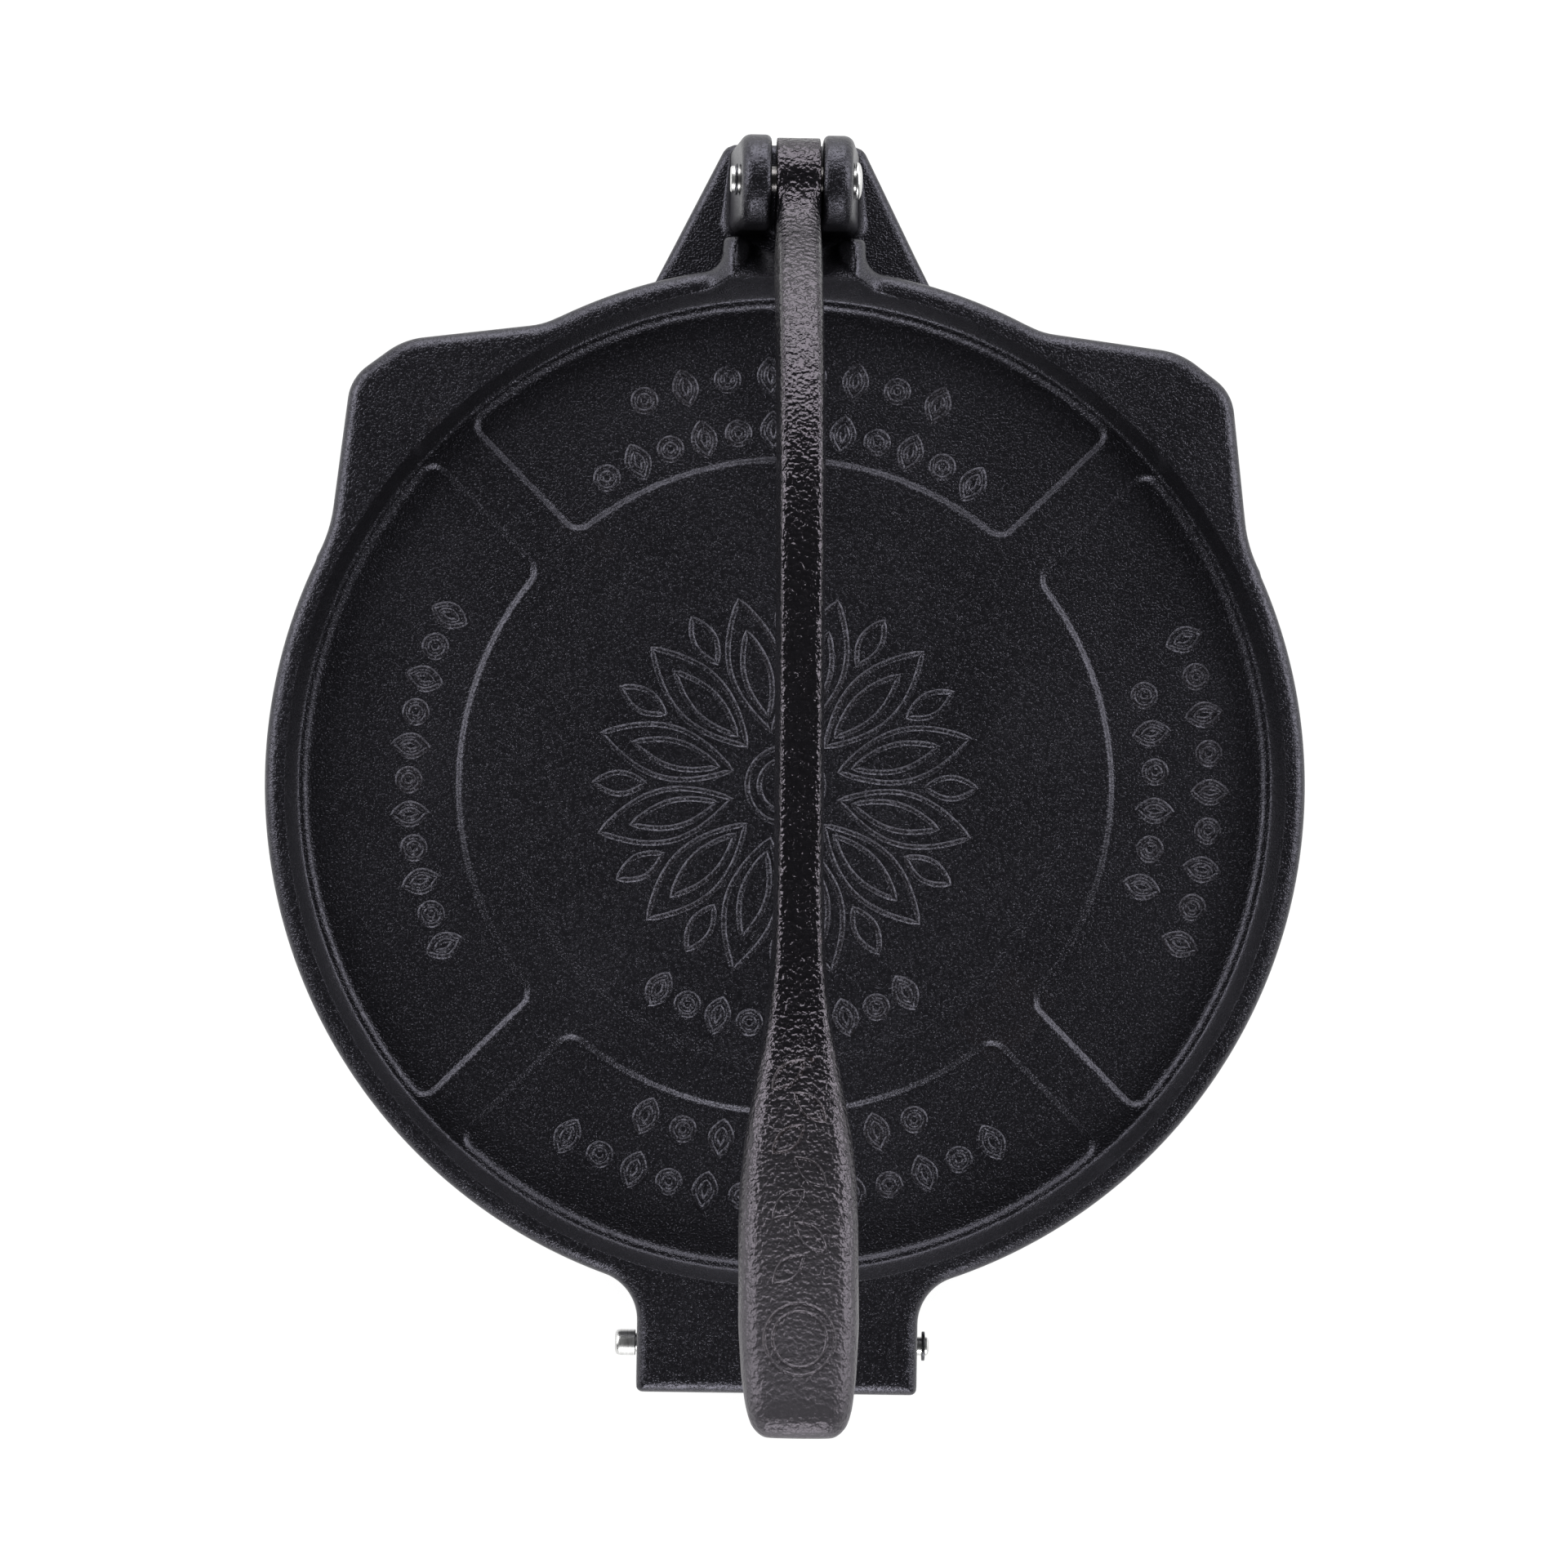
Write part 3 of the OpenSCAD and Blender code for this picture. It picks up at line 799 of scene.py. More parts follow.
def base_rings(sizes):
    """Rings of the base: press face, round edges, skirt and hollow underside."""
    radius = sizes.radius - sizes.base_inset
    tongue = [90 + side * np.arange(6.0, 15.6, 0.2) for side in (-1, 1)]
    grid = PlateGrid(base_outline(radius, sizes.base_inset), tongue, sizes.centre_y)
    x, y = grid.plan(grid.reach)
    out = smoothstep(grid.reach, radius + 0.3, radius + 3)
    low = SKIRT_Z + out * (np.where(np.abs(x) < 32, TONGUE_Z, SHOULDER_Z) - SKIRT_Z)
    edge = 1.0 + 1.3 * at_lever_end(x, y, 26, 31)
    rings = [grid.at_radius(radius - 9, FACE_Z)]
    for off_face, off_side in edge_round():
        rings.append(grid.at_depth(edge * off_side, FACE_Z - edge * off_face))
    for depth, lift in ((0.0, 1.3), (0.25, 0.45), (0.75, 0.08), (1.3, 0.0)):
        rings.append(grid.at_depth(depth, low + lift))
    rings.append(grid.at_radius(radius - 1.5, low))
    skirt = [(2.0, SKIRT_Z), (5.6, SKIRT_Z), (6.1, SKIRT_Z + 0.2), (6.3, SKIRT_Z + 0.8)]
    skirt += [(7.0, WEB_Z - 2.5), (7.6, WEB_Z - 1.2), (8.6, WEB_Z - 0.3), (10.0, WEB_Z)]
    return rings + [grid.at_radius(radius - inward, height) for inward, height in skirt]


def ear_fillet_rings(plan):
    """Rings of the hollow round where an ear stands on the press plate.

    Past the pivot it shrinks, to stay on the narrowing tongue. It is let in a little
    everywhere, so that it never shares a face with the ear or the plate.
    """
    radius, let_in, sunk = 2.6, (0.06, 0.05), 0.6
    centre = sum(plan, Vector((0, 0))) / len(plan)
    rings = []
    for off_plate, off_ear in edge_round():
        spread, rise = radius * off_ear, radius * off_plate
        ring = []
        for i, point in enumerate(plan):
            share = 1 - 0.9 * float(smoothstep(point.y, PIVOT.y + 1, PIVOT.y + 7))
            place = point + outwards(plan, i) * (spread * share - let_in[0])
            ring.append((*place, FACE_Z + (rise - let_in[1])))
        rings.append(ring)
    below = [(*((Vector(p[:2]) - centre) * 0.98 + centre), FACE_Z - sunk) for p in rings[0]]
    return [below] + rings


def ear_rings(side):
    """Rings of one upright ear, with a drafted outer face and well rounded edges."""
    inner, outer, bends = EAR_ROUND_IN, EAR_ROUND_OUT, edge_round()
    steps = [(EAR_IN + inner * off_face, inner * off_side) for off_face, off_side in bends]
    bends.reverse()
    steps += [(EAR_OUT - outer * off_face, outer * off_side) for off_face, off_side in bends]
    foot = FACE_Z - 1.0
    rings = []
    for out, inset in steps:
        reach = EAR_R - inset
        ring = arc((PIVOT.y, PIVOT.z), reach, 0, 180, 40)
        ring += [Vector((PIVOT.y - reach, foot)), Vector((PIVOT.y + reach, foot))]
        far = out > (EAR_IN + EAR_OUT) / 2
        draft = [far * EAR_DRAFT * (PIVOT.z - p.y) for p in ring]
        rings.append([(side * (out + d), p.x, p.y) for p, d in zip(ring, draft)])
    return rings


def ear_plan(side):
    """An ear's outline where it meets the tongue."""
    foot = EAR_OUT + EAR_DRAFT * (PIVOT.z - FACE_Z)
    near, far = PIVOT.y - EAR_R, PIVOT.y + EAR_R
    corners = [(EAR_IN, near), (foot, near), (foot, far), (EAR_IN, far)]
    path = rounded(corners, [EAR_ROUND_IN, EAR_ROUND_OUT, EAR_ROUND_OUT, EAR_ROUND_IN])
    return path if side > 0 else flipped(path)


def fill_lug(bm):
    """The base's arm and barrel between the lid's knuckles."""
    y, z = HINGE.y, HINGE.z
    outline = [(y + 15, z - LUG_R), (y + 15, FACE_Z), (y + 5.0, FACE_Z)]
    outline += arc((y, z), LUG_R, 35, 270, 40)
    prism(bm, outline, -LUG_HALF, LUG_HALF, 0.6, 3, holes=[circle_yz(HINGE, HINGE_BORE)])


def foot_rings(centre):
    """Rings of a short tapered foot."""
    profile = [(5.7, 0.0), (6.25, 0.2), (6.5, 0.7), (7.6, WEB_Z - 2), (8.8, RIB_ROOT_Z)]
    return [[(*p, z) for p in arc(centre, radius, 0, 352.5, 47)] for radius, z in profile]


def fill_rib(bm, angle, low, sizes):
    """One bar of the cross under the press plate."""
    profile = [(-2.4, RIB_ROOT_Z), (-1.8, low), (1.8, low), (2.4, RIB_ROOT_Z)]
    reach = sizes.radius - 6
    prism(bm, rounded(profile, [0.1, 0.8, 0.8, 0.1], 4), -reach, reach)
    turn = Matrix.Rotation(math.radians(angle), 3, "Z")
    bmesh.ops.rotate(bm, cent=(0, 0, 0), matrix=turn, verts=bm.verts)
    bmesh.ops.translate(bm, vec=(0, sizes.centre_y, 0), verts=bm.verts)


def round_rib_rings(sizes):
    """Rings of the round rib under the press plate."""
    section = [(47.4, RIB_ROOT_Z), (47.0, 7.8), (46.3, 7.2)]
    section += [(43.7, 7.2), (43.0, 7.8), (42.6, RIB_ROOT_Z)]
    circles = [(arc((0, 0), radius, 0, 357, 119), z) for radius, z in section]
    return [[(p.x, p.y + sizes.centre_y, z) for p in circle] for circle, z in circles]


def make_base():
    """The base casting: plate, tongue, ears, hinge lug, ribs and feet."""
    sizes = plate_sizes()
    shell = gathered(part(closed_skin, base_rings(sizes)), part(fill_lug))
    for side in (-1, 1):
        ear = gathered(part(closed_skin, ear_rings(side)))
        ear = cut(ear, part(fill_bore, PIVOT, PIVOT_BORE, side * 2.0, side * 20.0))
        join(shell, [as_mesh(ear), part(closed_skin, ear_fillet_rings(ear_plan(side)))])
    for angle in np.radians((45, 135, 225, 315)):
        out = FOOT_OUT * Vector((math.cos(angle), math.sin(angle)))
        join(shell, [part(closed_skin, foot_rings(out + Vector((0, sizes.centre_y))))])
    # The bars and the ring end at different heights, so that no two faces coincide
    join(shell, [part(fill_rib, 45, 7.0, sizes), part(fill_rib, 135, 7.1, sizes)])
    join(shell, [part(looped_skin, round_rib_rings(sizes))])
    add_piece("base_casting", shell, plate_iron("Base iron"), "base", "base_iron", "base_plate")


# --- the lever -----------------------------------------------------------------------

# Side view: distance from the pivot towards the grip, and height above the pivot
EYE_TOP = [(0, 8.8), (7, 8.8), (10.5, 14.2), (14, 18.5)]
ARCH_TOP = [(14, 18.5), (24, 31), (46, 51), (80, 51)]
BAR_TOP = [(80, 51), (104, 51), (127, 48.4), (152, 48.4)]
GRIP_RISE = [(152, 48.4), (174, 48.4), (186, 54.6), (204, 58.7)]
GRIP_TOP = [(204, 58.7), (220, 62.4), (236, 67.8), (250, 71.8)]
GRIP_END = [(250, 71.8), (255.6, 73.2), (259.8, 69), (257.1, 64.4)]
ARCH_UNDER = [(8, -3), (26, 4), (42, 38), (70, 38)]
BAR_UNDER = [(70, 38), (95, 38), (125, 37), (150, 37)]
GRIP_UNDER = [(150, 37), (180, 37), (205, 43), (228, 53)]
TIP_UNDER = [(228, 53), (240, 58), (254.2, 59), (257.1, 64.4)]
HEEL = [(4.5, 8), (15, 4), (12.5, -2), (12, -14), (11, -18), (7.5, -18.5), (-2, -9.2)]
HEEL_ROUNDS = [0.3, 0.3, 4, 6, 1.8, 1.8, 0.6]
# Half of the width seen from above: distance from the pivot, half width
HALF_WIDTHS = [
    (0, 4.65), (8, 4.7), (13, 5.2), (75, 5.2), (95, 5.1), (145, 5.2), (160, 5.5), (167.2, 6.0),
    (175.4, 6.9), (183.6, 8.4), (191.8, 9.85), (200, 11.2), (208, 12.0), (216, 12.3), (236, 12.3),
    (246, 11.7), (251.4, 11.0), (253.6, 10.5), (255.8, 9.7), (257.4, 8.0), (258.4, 5.6),
]
# Half widths between which a section turns from the slim bar's into the broad grip's
BAR_TO_GRIP = (5.3, 11.5)
# Marks on the grip: distances from the pivot, turn in degrees and offset to both sides
RING_AT, LEAVES_FROM, LEAF_STEP, LEAF_TURN, LEAF_OFF = 238, 186, 6.4, 48, 2.2
LEVER_PLAY, LEVER_SKEW = 0.3, math.radians(0.57)


def lever_stations():
    """Pairs of upper and lower points along the lever, from the eye to the grip's end."""
    top = curve(EYE_TOP, 10) + curve(ARCH_TOP, 20)[1:] + curve(BAR_TOP, 16)[1:]
    top += curve(GRIP_RISE, 20)[1:] + curve(GRIP_TOP, 20)[1:]
    under = curve(ARCH_UNDER, 30) + curve(BAR_UNDER, 16)[1:] + curve(GRIP_UNDER, 28)[1:]
    # Round the grip's end the pairs are picked so that the sections fan out evenly
    end, tip = curve(GRIP_END, 20), curve(TIP_UNDER, 40)
    top += [end[i] for i in (3, 6, 9, 12, 15, 17, 18)]
    under += tip[2:25:2] + [tip[i] for i in (27, 30, 33, 35, 37, 38, 39)]
    return list(zip(top, under, strict=True))


def lever_section(top, under, half):
    """A rounded section of the lever: flat top, sides that spread towards the lower edge."""
    bar_draft, grip_draft, crown, sink = 0.9, 0.5, 0.8, 0.5
    thick = (top - under).length
    share = smoothstep(half, *BAR_TO_GRIP)
    narrow = half - bar_draft * (1 - share) - grip_draft * share
    corners = [(narrow, thick), (-narrow, thick), (-half, 0), (half, 0)]
    top_round = min(1.3 + 3.1 * share, thick * 0.42, narrow * 0.8)
    low_round = min(0.9 + 2.6 * share, thick * 0.42, half * 0.8)
    radii = [top_round, top_round, low_round, low_round]
    ring = []
    for p in resample(rounded(corners, radii, 5), count=72):
        dome = share * crown * (1 - (p.x / half) ** 2) * (p.y / thick)
        place = under + (top - under) * ((p.y + dome - sink * share) / thick)
        ring.append((p.x, PIVOT.y - place.x, PIVOT.z + place.y))
    return ring


def bar_rings():
    """Sections of the arched bar and the grip."""
    reach, half = zip(*HALF_WIDTHS)
    rings = []
    for top, under in lever_stations():
        width = float(np.interp((top.x + under.x) / 2, reach, half))
        rings.append(lever_section(top, under, width))
    return rings


def fill_eye(bm, sizes):
    """The eye round the pivot pin."""
    prism(bm, circle_yz(PIVOT, sizes.eye, 72), -sizes.eye_half, sizes.eye_half, 1.1, 4)


def fill_heel(bm, sizes):
    """The heel that bears on the lid's nose."""
    outline = rounded([(PIVOT.y - u, PIVOT.z + v) for u, v in HEEL], HEEL_ROUNDS, 5)
    prism(bm, outline, -sizes.eye_half, sizes.eye_half, 1.0, 3)


def fill_grip_marks(bm):
    """Raised rings near the grip's end and a vine of small leaves behind them."""
    paths = [arc((0, PIVOT.y - RING_AT), radius, 0, 354, 59) for radius in (7.0, 5.4)]
    for i in range(7):
        side = 1 if i % 2 else -1
        spin = Matrix.Rotation(math.radians(LEAF_TURN * side), 2)
        centre = Vector((LEAF_OFF * side, PIVOT.y - LEAVES_FROM - LEAF_STEP * i))
        paths.append([centre + spin @ p for p in leaf(8.2, 3.8)])
    fill_ridges(bm, paths, 0.0, 0.0, *GRIP_LINE)
    # Laid on the grip's crowned top
    crown, fall = 0.15, 0.004
    top = curve(GRIP_RISE, 20) + curve(GRIP_TOP, 20)[1:]
    ys, zs = zip(*sorted((PIVOT.y - p.x, PIVOT.z + p.y) for p in top))
    for vert in bm.verts:
        vert.co.z += float(np.interp(vert.co.y, ys, zs)) + crown - fall * vert.co.x**2


def set_askew(bm):
    """Moves the lever to one side of its slot and turns it a little, within its play."""
    for vert in bm.verts:
        vert.co.x += LEVER_PLAY + math.tan(LEVER_SKEW) * (PIVOT.y - vert.co.y)


def make_lever():
    """The lever casting, fused from its bar, eye and heel, then bored."""
    sizes = Millimetres(settings().lever)
    bar = part(closed_skin, bar_rings())
    body = gathered(bar, part(fill_eye, sizes), part(fill_heel, sizes))
    fuse = {"mode": "VOXEL", "voxel_size": sizes.grain, "use_smooth_shade": True}
    body = through_modifiers(body, ("REMESH", fuse), ("SMOOTH", {"factor": 0.5, "iterations": 4}))
    body = cut(body, part(fill_bore, PIVOT, sizes.bore, -8.0, 8.0, 64))
    join(body, [part(fill_grip_marks)])
    set_askew(body)
    add_piece("lever_casting", body, lever_iron(), "handle", "lever_iron", "handle")


# --- pins and clips ------------------------------------------------------------------


def fill_pivot_pin(bm):
    """Shank, low domed head, ring groove and end button."""
    seat, shank, head, groove = 12.45, 2.8, 3.95, 2.25
    profile = [(-seat - 1.6, 0), (-seat - 1.6, 2.3), (-seat - 1.5, 2.6), (-seat - 1.3, shank)]
    profile += [(-seat - 0.65, shank), (-seat - 0.6, groove), (-seat, groove), (-seat, shank)]
    profile += [(seat, shank), (seat, head - 0.1), (seat + 0.12, head), (seat + 0.35, head)]
    for turn in np.radians(range(12, 84, 12)):
        profile.append((seat + 0.35 + 1.05 * math.sin(turn), head * math.cos(turn) ** 0.8))
    profile.append((seat + 1.4, 0))
    lathe(bm, profile, PIVOT)


def fill_hinge_pin(bm):
    """Shank, plain turned head, clip groove and domed end."""
    seat, shank, head, groove = 30.3, 2.0, 2.78, 1.15
    profile = [(-seat - 4.4, 0), (-seat - 4.4, 1.5), (-seat - 4.3, 2.1), (-seat - 4.0, 2.55)]
    profile += [(-seat - 3.6, 2.72), (-seat - 3.0, head), (-seat - 0.15, head)]
    profile += [(-seat, head - 0.15), (-seat, shank)]
    profile += [(31.4, shank), (31.4, groove), (32.1, groove), (32.1, shank)]
    profile += [(32.5, shank), (32.75, 1.75), (32.95, 1.2), (33.0, 0)]
    lathe(bm, profile, HINGE)


def fill_clip(bm, centre, outer, groove, low, high):
    """An open retaining ring whose jaws face down."""
    jaw, opening = 14, math.degrees(math.asin(0.42))
    path = arc((0, 0), outer, -90 + jaw, 270 - jaw, 48)
    path += arc((0, 0), groove, 270 - opening, -90 + opening, 30)
    prism(bm, [(centre.y + p.x, centre.z + p.y) for p in path], low, high, 0.09, 2)


def make_pins():
    """Both pins and both clips."""
    steel, black = turned_steel(), clip_steel()
    pivot_clip = (fill_clip, PIVOT, 3.3, 2.27, -13.0, -12.5)
    hinge_clip = (fill_clip, HINGE, 3.15, 1.17, 31.45, 32.05)
    for name, fill, finish, slot, node in (
        ("pivot_pin_turned", [fill_pivot_pin], steel, "pin_steel", "pivot_pin"),
        ("hinge_pin_turned", [fill_hinge_pin], steel, "pin_steel", "hinge_pin"),
        ("pivot_ring", pivot_clip, black, "clip_steel", "pivot_pin_clip"),
        ("hinge_retaining_ring", hinge_clip, black, "clip_steel", "hinge_pin_clip"),
    ):
        add_piece(name, gathered(part(*fill)), finish, "base", slot, node)


# --- finishes ------------------------------------------------------------------------


class Nodes:
    """A short way to add and link the nodes of a tree."""

    def __init__(self, tree):
        self.tree = tree

    def feed(self, socket, value):
        """Links an output to a socket, or sets the socket's own value."""
        if isinstance(value, bpy.types.NodeSocket):
            self.tree.links.new(value, socket)
        else:
            socket.default_value = value

    def add(self, kind, *sockets, options=None, **named):
        """A node whose inputs are fed in order, or by name."""
        node = self.tree.nodes.new(kind)
        for key, value in (options or {}).items():
            setattr(node, key, value)
        for socket, value in zip(node.inputs, sockets):
            self.feed(socket, value)
        for key, value in named.items():
            self.feed(node.inputs[key], value)
        return node

    def math(self, operation, first, second):
        """Arithmetic on two values."""
        node = self.add("ShaderNodeMath", first, second, options={"operation": operation})
        return node.outputs[0]


class Shader(Nodes):
    """A material on a piece's own coordinates."""

    MIX_FIRST, MIX_SECOND, MIX_RESULT = 6, 7, 2  # the Mix node's colour sockets

    def __init__(self, name):
        self.material = bpy.data.materials.new(name)
        self.material.use_nodes = True
        super().__init__(self.material.node_tree)
        self.place = self.add("ShaderNodeTexCoord").outputs["Object"]

    def along(self, axis):
        """Place along one axis, in metres."""
        return self.add("ShaderNodeSeparateXYZ", Vector=self.place).outputs[axis]

    def noise(self, size, detail=2.0, rough=0.5, place=None):
        """Noise whose features are about that many millimetres."""
        values = {"Scale": 1 / (size * MM), "Detail": detail, "Roughness": rough}
        place = self.place if place is None else place
        return self.add("ShaderNodeTexNoise", Vector=place, **values).outputs["Fac"]

    def spread(self, value, low, high, to_low=0.0, to_high=1.0):
        """A value's range stretched to another range."""
        return self.add("ShaderNodeMapRange", value, low, high, to_low, to_high).outputs["Result"]

    def mix(self, share, first, second):
        """A colour between two colours."""
        node = self.add("ShaderNodeMix", share, options={"data_type": "RGBA"})
        self.feed(node.inputs[self.MIX_FIRST], first)
        self.feed(node.inputs[self.MIX_SECOND], second)
        return node.outputs[self.MIX_RESULT]

    def bump(self, height, depth, strength, **under):
        """A bump of that many millimetres, on top of another one if given as Normal."""
        values = {"Height": height, "Distance": depth * MM, "Strength": strength, **under}
        return self.add("ShaderNodeBump", **values).outputs["Normal"]

    def dressed(self, colour, rough, normal, **values):
        """The material, with its surface fed with a finish."""
        surface = self.tree.nodes["Principled BSDF"]
        values = {"Base Color": colour, "Roughness": rough, "Normal": normal, **values}
        for key, value in values.items():
            self.feed(surface.inputs[key], value)
        return self.material


def tinted(colour, share=1.0):
    """A property's colour, darker or lighter by a share, as a socket takes it."""
    return (*(share * c for c in colour), 1)


def cast_iron(name, grain, tint, sparse, slope, smooth, wear, matt_and_lit_from=None):
    """Seasoned black iron: cast grain that catches the light, and brown worn edges.

    The grain stands up only where its noise is above sparse, and then leans by about slope.
    Beyond the y given last, towards the user, the surface is more matt, and its colour is painted
    lighter: painted light for the light that the grip's end catches.
    """
    finish = settings().finish
    grain = grain / MM
    shader = Shader(name)
    fine = shader.noise(grain, 1.0, 0.4)
    coarse = shader.noise(grain * 4, 1.0, 0.5)
    cloud = shader.noise(28, 3.0, 0.6)
    worn = shader.add("ShaderNodeNewGeometry").outputs["Pointiness"]
    edge = shader.spread(worn, 0.53, 0.6, 0.0, wear)
    browned = shader.math("MULTIPLY", edge, shader.spread(cloud, 0.42, 0.68))
    base = shader.mix(browned, tinted(finish.iron), tinted(finish.brown))
    raised = shader.spread(fine, sparse, 0.8)
    base = shader.mix(shader.spread(raised, 0.0, 0.8, 0.0, 0.6), base, tinted(finish.iron, 2.1))
    rough = shader.spread(cloud, 0.3, 0.7, smooth, smooth + 0.06)
    firm, more_matt, still_firm = 1.0, 0.3, 0.6
    if matt_and_lit_from is not None:
        # Past this y the grip turns more matt, and its colour is painted lighter towards the end:
        # painted light
        matt_and_painted_light = shader.spread(shader.along("Y"), matt_and_lit_from, matt_and_lit_from - 0.1)
        rough = shader.math("ADD", rough, shader.math("MULTIPLY", matt_and_painted_light, more_matt))
        base = shader.mix(matt_and_painted_light, base, tinted(finish.matt_and_painted_light))
        firm = shader.spread(matt_and_painted_light, 0.0, 1.0, firm, still_firm)
    broad = shader.bump(coarse, slope * grain * 2, 0.6)
    normal = shader.bump(raised, slope * grain * (0.8 - sparse) * 2.5, firm, Normal=broad)
    sheen = {"Specular IOR Level": 0.55, "Specular Tint": tinted(tint)}
    return shader.dressed(base, rough, normal, **sheen)


def plate_iron(name):
    """Iron of a plate, with fine and scattered grain."""
    finish = settings().finish
    values = {"sparse": 0.48, "slope": 0.26, "smooth": 0.3, "wear": 0.15}
    return cast_iron(name, finish.grain, finish.plate_sheen, **values)


def lever_iron():
    """Iron of the lever, coarser, browned on its edges, more matt on its grip, and painted
    lighter there as painted light.
    """
    finish = settings().finish
    values = {"sparse": 0.34, "slope": 0.23, "smooth": 0.18, "wear": 1.0, "matt_and_lit_from": -0.055}
    return cast_iron("Lever iron", finish.peel, finish.lever_sheen, **values)


def turned_steel():
    """Bright steel with fine marks round the axis, with painted shade darkening it between the
    ears.
    """
    finish = settings().finish
    shader = Shader("Turned steel")
    stretch = shader.add("ShaderNodeMapping", Vector=shader.place, Scale=(1.0, 0.04, 0.04))
    marks = shader.noise(0.22, 3.0, place=stretch.outputs["Vector"])
    bright = shader.spread(marks, 0.35, 0.7)
    base = shader.mix(bright, tinted(finish.steel, 0.72), tinted(finish.steel))
    # Painted shade: between the ears the shank takes the darker steel, for the shade there
    off_middle = shader.math("ABSOLUTE", shader.along("X"), 0.0)
    outside = shader.spread(off_middle, (EAR_OUT - 0.35) * MM, (EAR_OUT + 0.25) * MM)
    base = shader.mix(outside, tinted(finish.shaded_shank_steel), base)
    rough = shader.spread(marks, 0.3, 0.7, 0.3, 0.42)
    return shader.dressed(base, rough, shader.bump(marks, 0.02, 0.6), Metallic=1.0)


def clip_steel():
    """Blackened spring steel."""
    black = settings().finish.black_steel
    shader = Shader("Clip steel")
    value = shader.noise(0.6, 3.0)
    base = shader.mix(shader.spread(value, 0.35, 0.7), tinted(black), tinted(black, 1.8))
    rough = shader.spread(value, 0.3, 0.7, 0.34, 0.46)
    return shader.dressed(base, rough, shader.bump(value, 0.01, 0.4), Metallic=0.8)


# --- stage ---------------------------------------------------------------------------

FLOOR_DROP = 0.2 * MM  # keeps the floor just under the feet
SEEN_GREY, LIT_GREY, FLOOR_GLOW = (0.22, 0.22, 0.22, 1), (0.8, 0.8, 0.8, 1), 0.86
# Name, azimuth and elevation in degrees, share of the power, width and height in metres
PANELS = (
    ("panel_right", 20, 25, 1.0, 1.2, 0.7),
    ("panel_left", 160, 25, 1.0, 1.2, 0.7),
    ("panel_back", 91, 20, 1.15, 1.2, 0.9),
    ("panel_front", 269, 22, 0.9, 0.9, 0.6),
)
PANEL_DISTANCE, PANEL_TARGET = 1.3, (0, 0, 0.03)
AIM_OFF = Vector((-0.44, 0.35)) * MM  # of the camera's target, from the lid's centre


def make_floor():
    """A white floor that keeps the press's shadow."""
    bm = bmesh.new()
    just_below = Matrix.Translation((0, 0, -FLOOR_DROP))
    bmesh.ops.create_grid(bm, x_segments=1, y_segments=1, size=4.0, matrix=just_below)
    floor = new_object("floor", as_mesh(bm, "floor"))
    material = bpy.data.materials.new("White floor")
    material.use_nodes = True
    material.node_tree.nodes.clear()
    nodes = Nodes(material.node_tree)
    rays = nodes.add("ShaderNodeLightPath").outputs
    seen = nodes.math("MAXIMUM", rays["Is Camera Ray"], rays["Is Glossy Ray"])
    seen = nodes.math("MAXIMUM", seen, rays["Is Transmission Ray"])
    lit = nodes.add("ShaderNodeBsdfDiffuse", LIT_GREY).outputs[0]
    glow = nodes.add("ShaderNodeEmission", Strength=FLOOR_GLOW).outputs[0]
    shaded = nodes.add("ShaderNodeBsdfDiffuse", SEEN_GREY).outputs[0]
    white = nodes.add("ShaderNodeAddShader", glow, shaded).outputs[0]
    surface = nodes.add("ShaderNodeMixShader", seen, lit, white).outputs[0]
    nodes.add("ShaderNodeOutputMaterial", surface)
    floor.data.materials.append(material)


def make_world():
    """Even light from all round, and white where the camera looks past the floor."""
    world = bpy.data.worlds.new("Studio")
    bpy.context.scene.world = world
    world.use_nodes = True
    nodes = Nodes(world.node_tree)
    fill = world.node_tree.nodes["Background"]
    nodes.feed(fill.inputs["Color"], (0.97, 0.98, 1.0, 1))
    nodes.feed(fill.inputs["Strength"], settings().stage.sky)
    white = nodes.add("ShaderNodeBackground", (1, 1, 1, 1)).outputs[0]
    seen = nodes.add("ShaderNodeLightPath").outputs["Is Camera Ray"]
    pick = nodes.add("ShaderNodeMixShader", seen, fill.outputs[0], white).outputs[0]
    nodes.feed(world.node_tree.nodes["World Output"].inputs["Surface"], pick)


def aim(thing, place, target, up):
    """Stands a camera or lamp at a place, looking at a target."""
    back = (Vector(place) - Vector(target)).normalized()
    right = Vector(up).cross(back).normalized()
    turn = Matrix((right, back.cross(right), back)).transposed().to_4x4()
    thing.matrix_world = Matrix.Translation(place) @ turn


def make_panel(name, azimuth, elevation, power, width, height):
    """A soft light panel that faces the press."""
    lamp = bpy.data.lights.new(name, "AREA")
    lamp.shape = "RECTANGLE"
    lamp.size, lamp.size_y = width, height
    lamp.energy = power
    a, e = math.radians(azimuth), math.radians(elevation)
    out = Vector((math.cos(a) * math.cos(e), math.sin(a) * math.cos(e), math.sin(e)))
    aim(new_object(name, lamp), PANEL_DISTANCE * out, PANEL_TARGET, (0, 0, 1))


def make_camera(stage, plates):
    """A camera above the lid, leaning and rolled a little."""
    camera = bpy.data.cameras.new("camera")
    camera.angle = 2 * math.atan(stage.span / 2 / stage.distance)
    camera.clip_end = 20
    viewer = new_object("camera", camera)
    centre_y = HINGE.y * MM + plates.hinge_out + plates.radius
    target = Vector((AIM_OFF.x, centre_y + AIM_OFF.y, plates.rim))
    back = Vector((-math.sin(stage.lean), 0, math.cos(stage.lean)))
    up = (-math.sin(stage.roll), math.cos(stage.roll), 0)
    aim(viewer, target + stage.distance * back, target, up)
    bpy.context.scene.camera = viewer


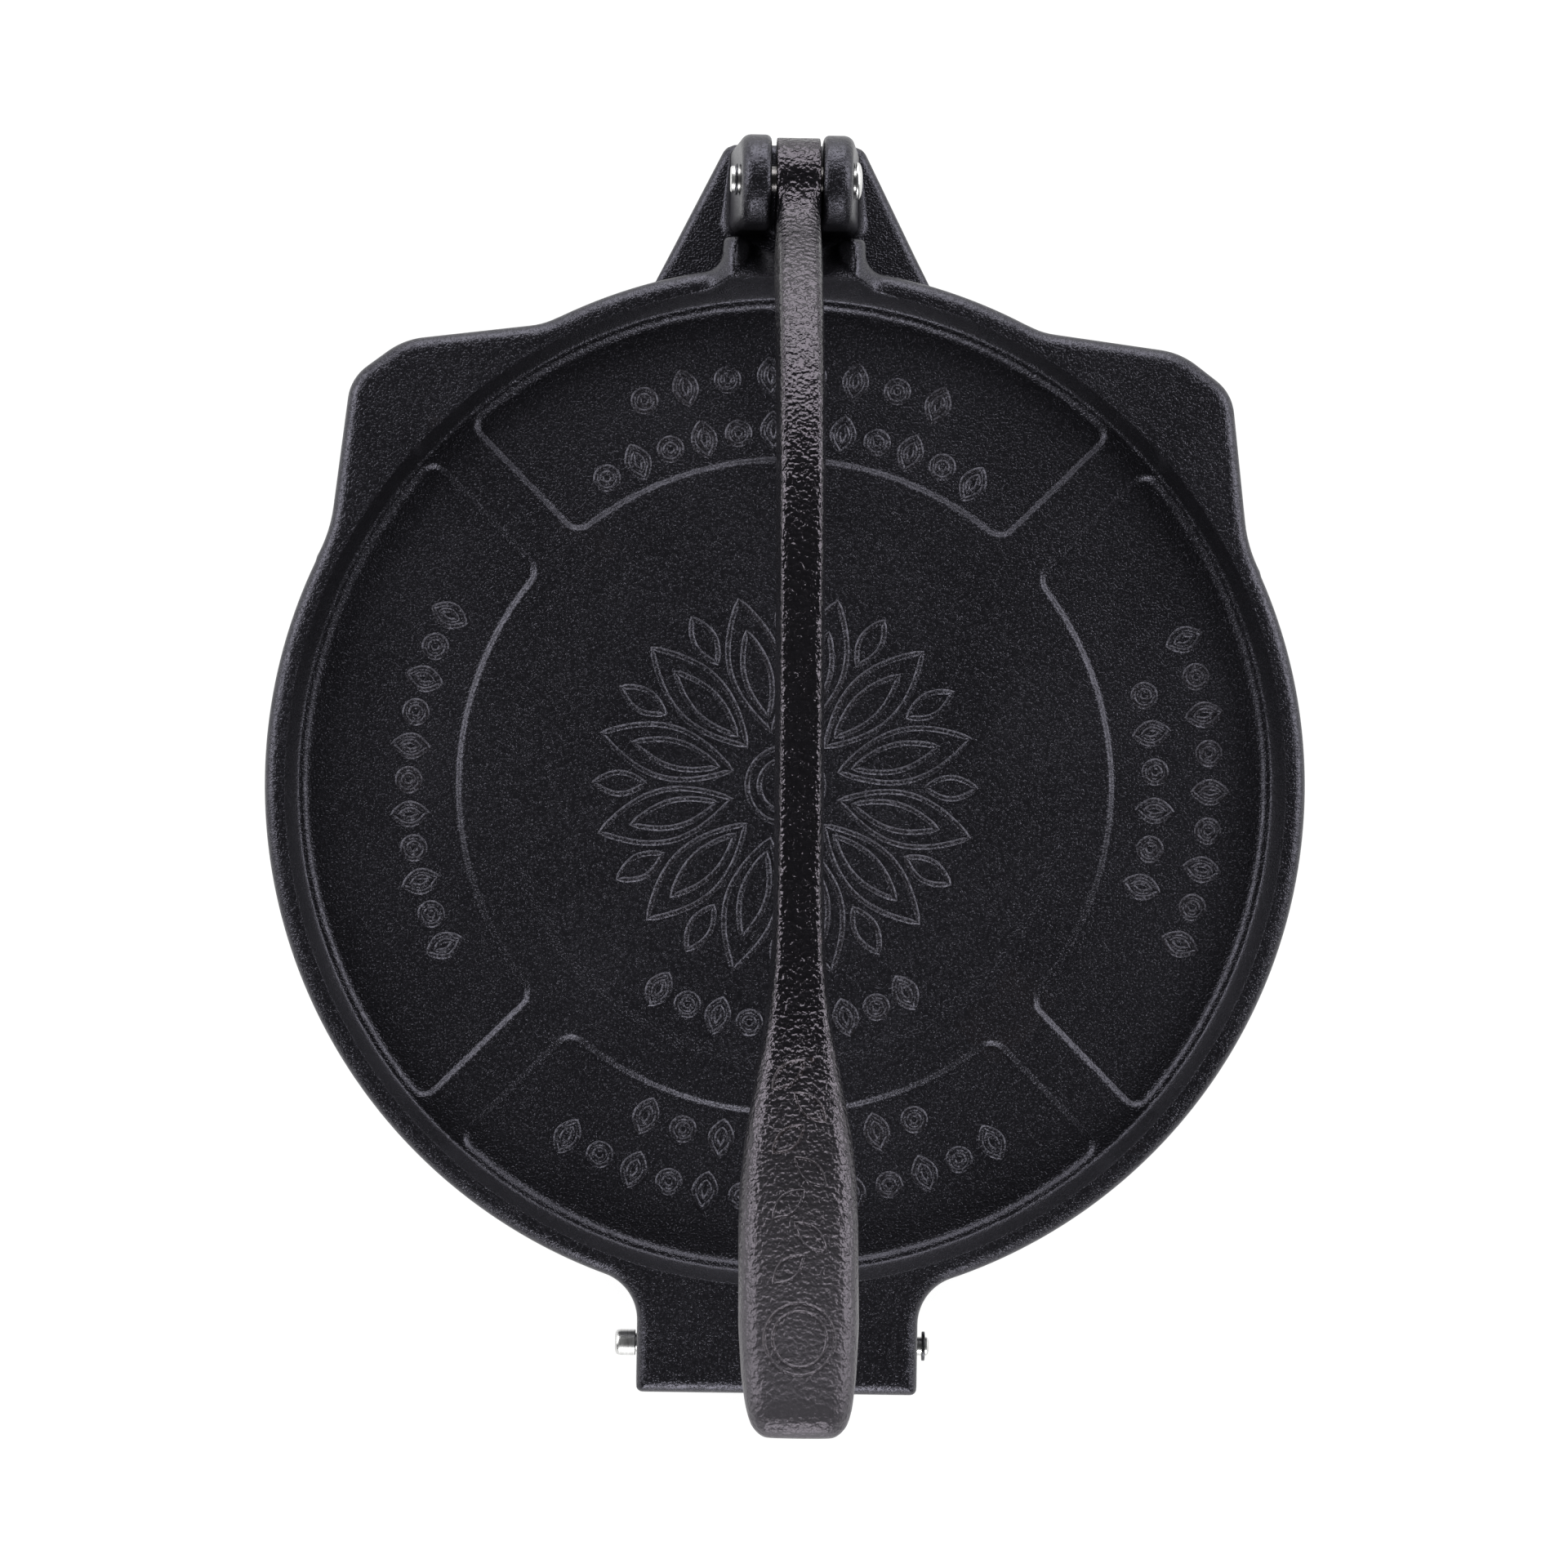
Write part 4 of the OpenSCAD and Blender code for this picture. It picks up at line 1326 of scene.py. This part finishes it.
def make_stage():
    """Camera, light panels, fill light and floor."""
    bpy.context.scene.view_settings.view_transform = "Standard"
    make_floor()
    make_world()
    for name, azimuth, elevation, share, width, height in PANELS:
        power = share * settings().stage.panel_power
        make_panel(name, azimuth, elevation, power, width, height)
    make_camera(settings().stage, settings().plates)


# --- operators, panel and registration -----------------------------------------------


class TORTILLA_OT_lid(bpy.types.Operator):
    """Build the lid casting"""

    bl_idname = "tortilla.lid"
    bl_label = "Lid"

    def execute(self, context):
        make_lid()
        return {"FINISHED"}


class TORTILLA_OT_base(bpy.types.Operator):
    """Build the base casting with its ears, ribs and feet"""

    bl_idname = "tortilla.base"
    bl_label = "Base"

    def execute(self, context):
        make_base()
        return {"FINISHED"}


class TORTILLA_OT_lever(bpy.types.Operator):
    """Build the lever casting"""

    bl_idname = "tortilla.lever"
    bl_label = "Lever"

    def execute(self, context):
        make_lever()
        return {"FINISHED"}


class TORTILLA_OT_pins(bpy.types.Operator):
    """Build both pins and their clips"""

    bl_idname = "tortilla.pins"
    bl_label = "Pins and clips"

    def execute(self, context):
        make_pins()
        return {"FINISHED"}


class TORTILLA_OT_stage(bpy.types.Operator):
    """Build the camera, lights and floor"""

    bl_idname = "tortilla.stage"
    bl_label = "Stage"

    def execute(self, context):
        make_stage()
        return {"FINISHED"}


OPERATORS = (
    TORTILLA_OT_stage,
    TORTILLA_OT_base,
    TORTILLA_OT_lid,
    TORTILLA_OT_lever,
    TORTILLA_OT_pins,
)


class TORTILLA_PT_panel(bpy.types.Panel):
    """The press's sizes and build steps"""

    bl_idname = "TORTILLA_PT_panel"
    bl_label = "Tortilla Press"
    bl_space_type = "VIEW_3D"
    bl_region_type = "UI"
    bl_category = "Tortilla Press"

    def draw(self, context):
        column = self.layout.column()
        for group in (settings().plates, settings().lever, settings().finish, settings().stage):
            for name in group.__annotations__:
                column.prop(group, name)
        for operator in OPERATORS:
            column.operator(operator.bl_idname)


GROUPS = (PressPlateSizes, PressLeverSizes, PressFinish, PressStage, PressSettings)
CLASSES = (*GROUPS, *OPERATORS, TORTILLA_PT_panel)


def register():
    """Registers every class and gives the scene its settings."""
    for cls in CLASSES:
        bpy.utils.register_class(cls)
    bpy.types.Scene.tortilla_press = bpy.props.PointerProperty(type=PressSettings)


def unregister():
    """Takes the settings and every class away again."""
    del bpy.types.Scene.tortilla_press
    for cls in reversed(CLASSES):
        bpy.utils.unregister_class(cls)


def main():
    """Builds the whole press."""
    register()
    bpy.ops.tortilla.stage()
    bpy.ops.tortilla.base()
    bpy.ops.tortilla.lid()
    bpy.ops.tortilla.lever()
    bpy.ops.tortilla.pins()


if __name__ == "__main__":
    main()
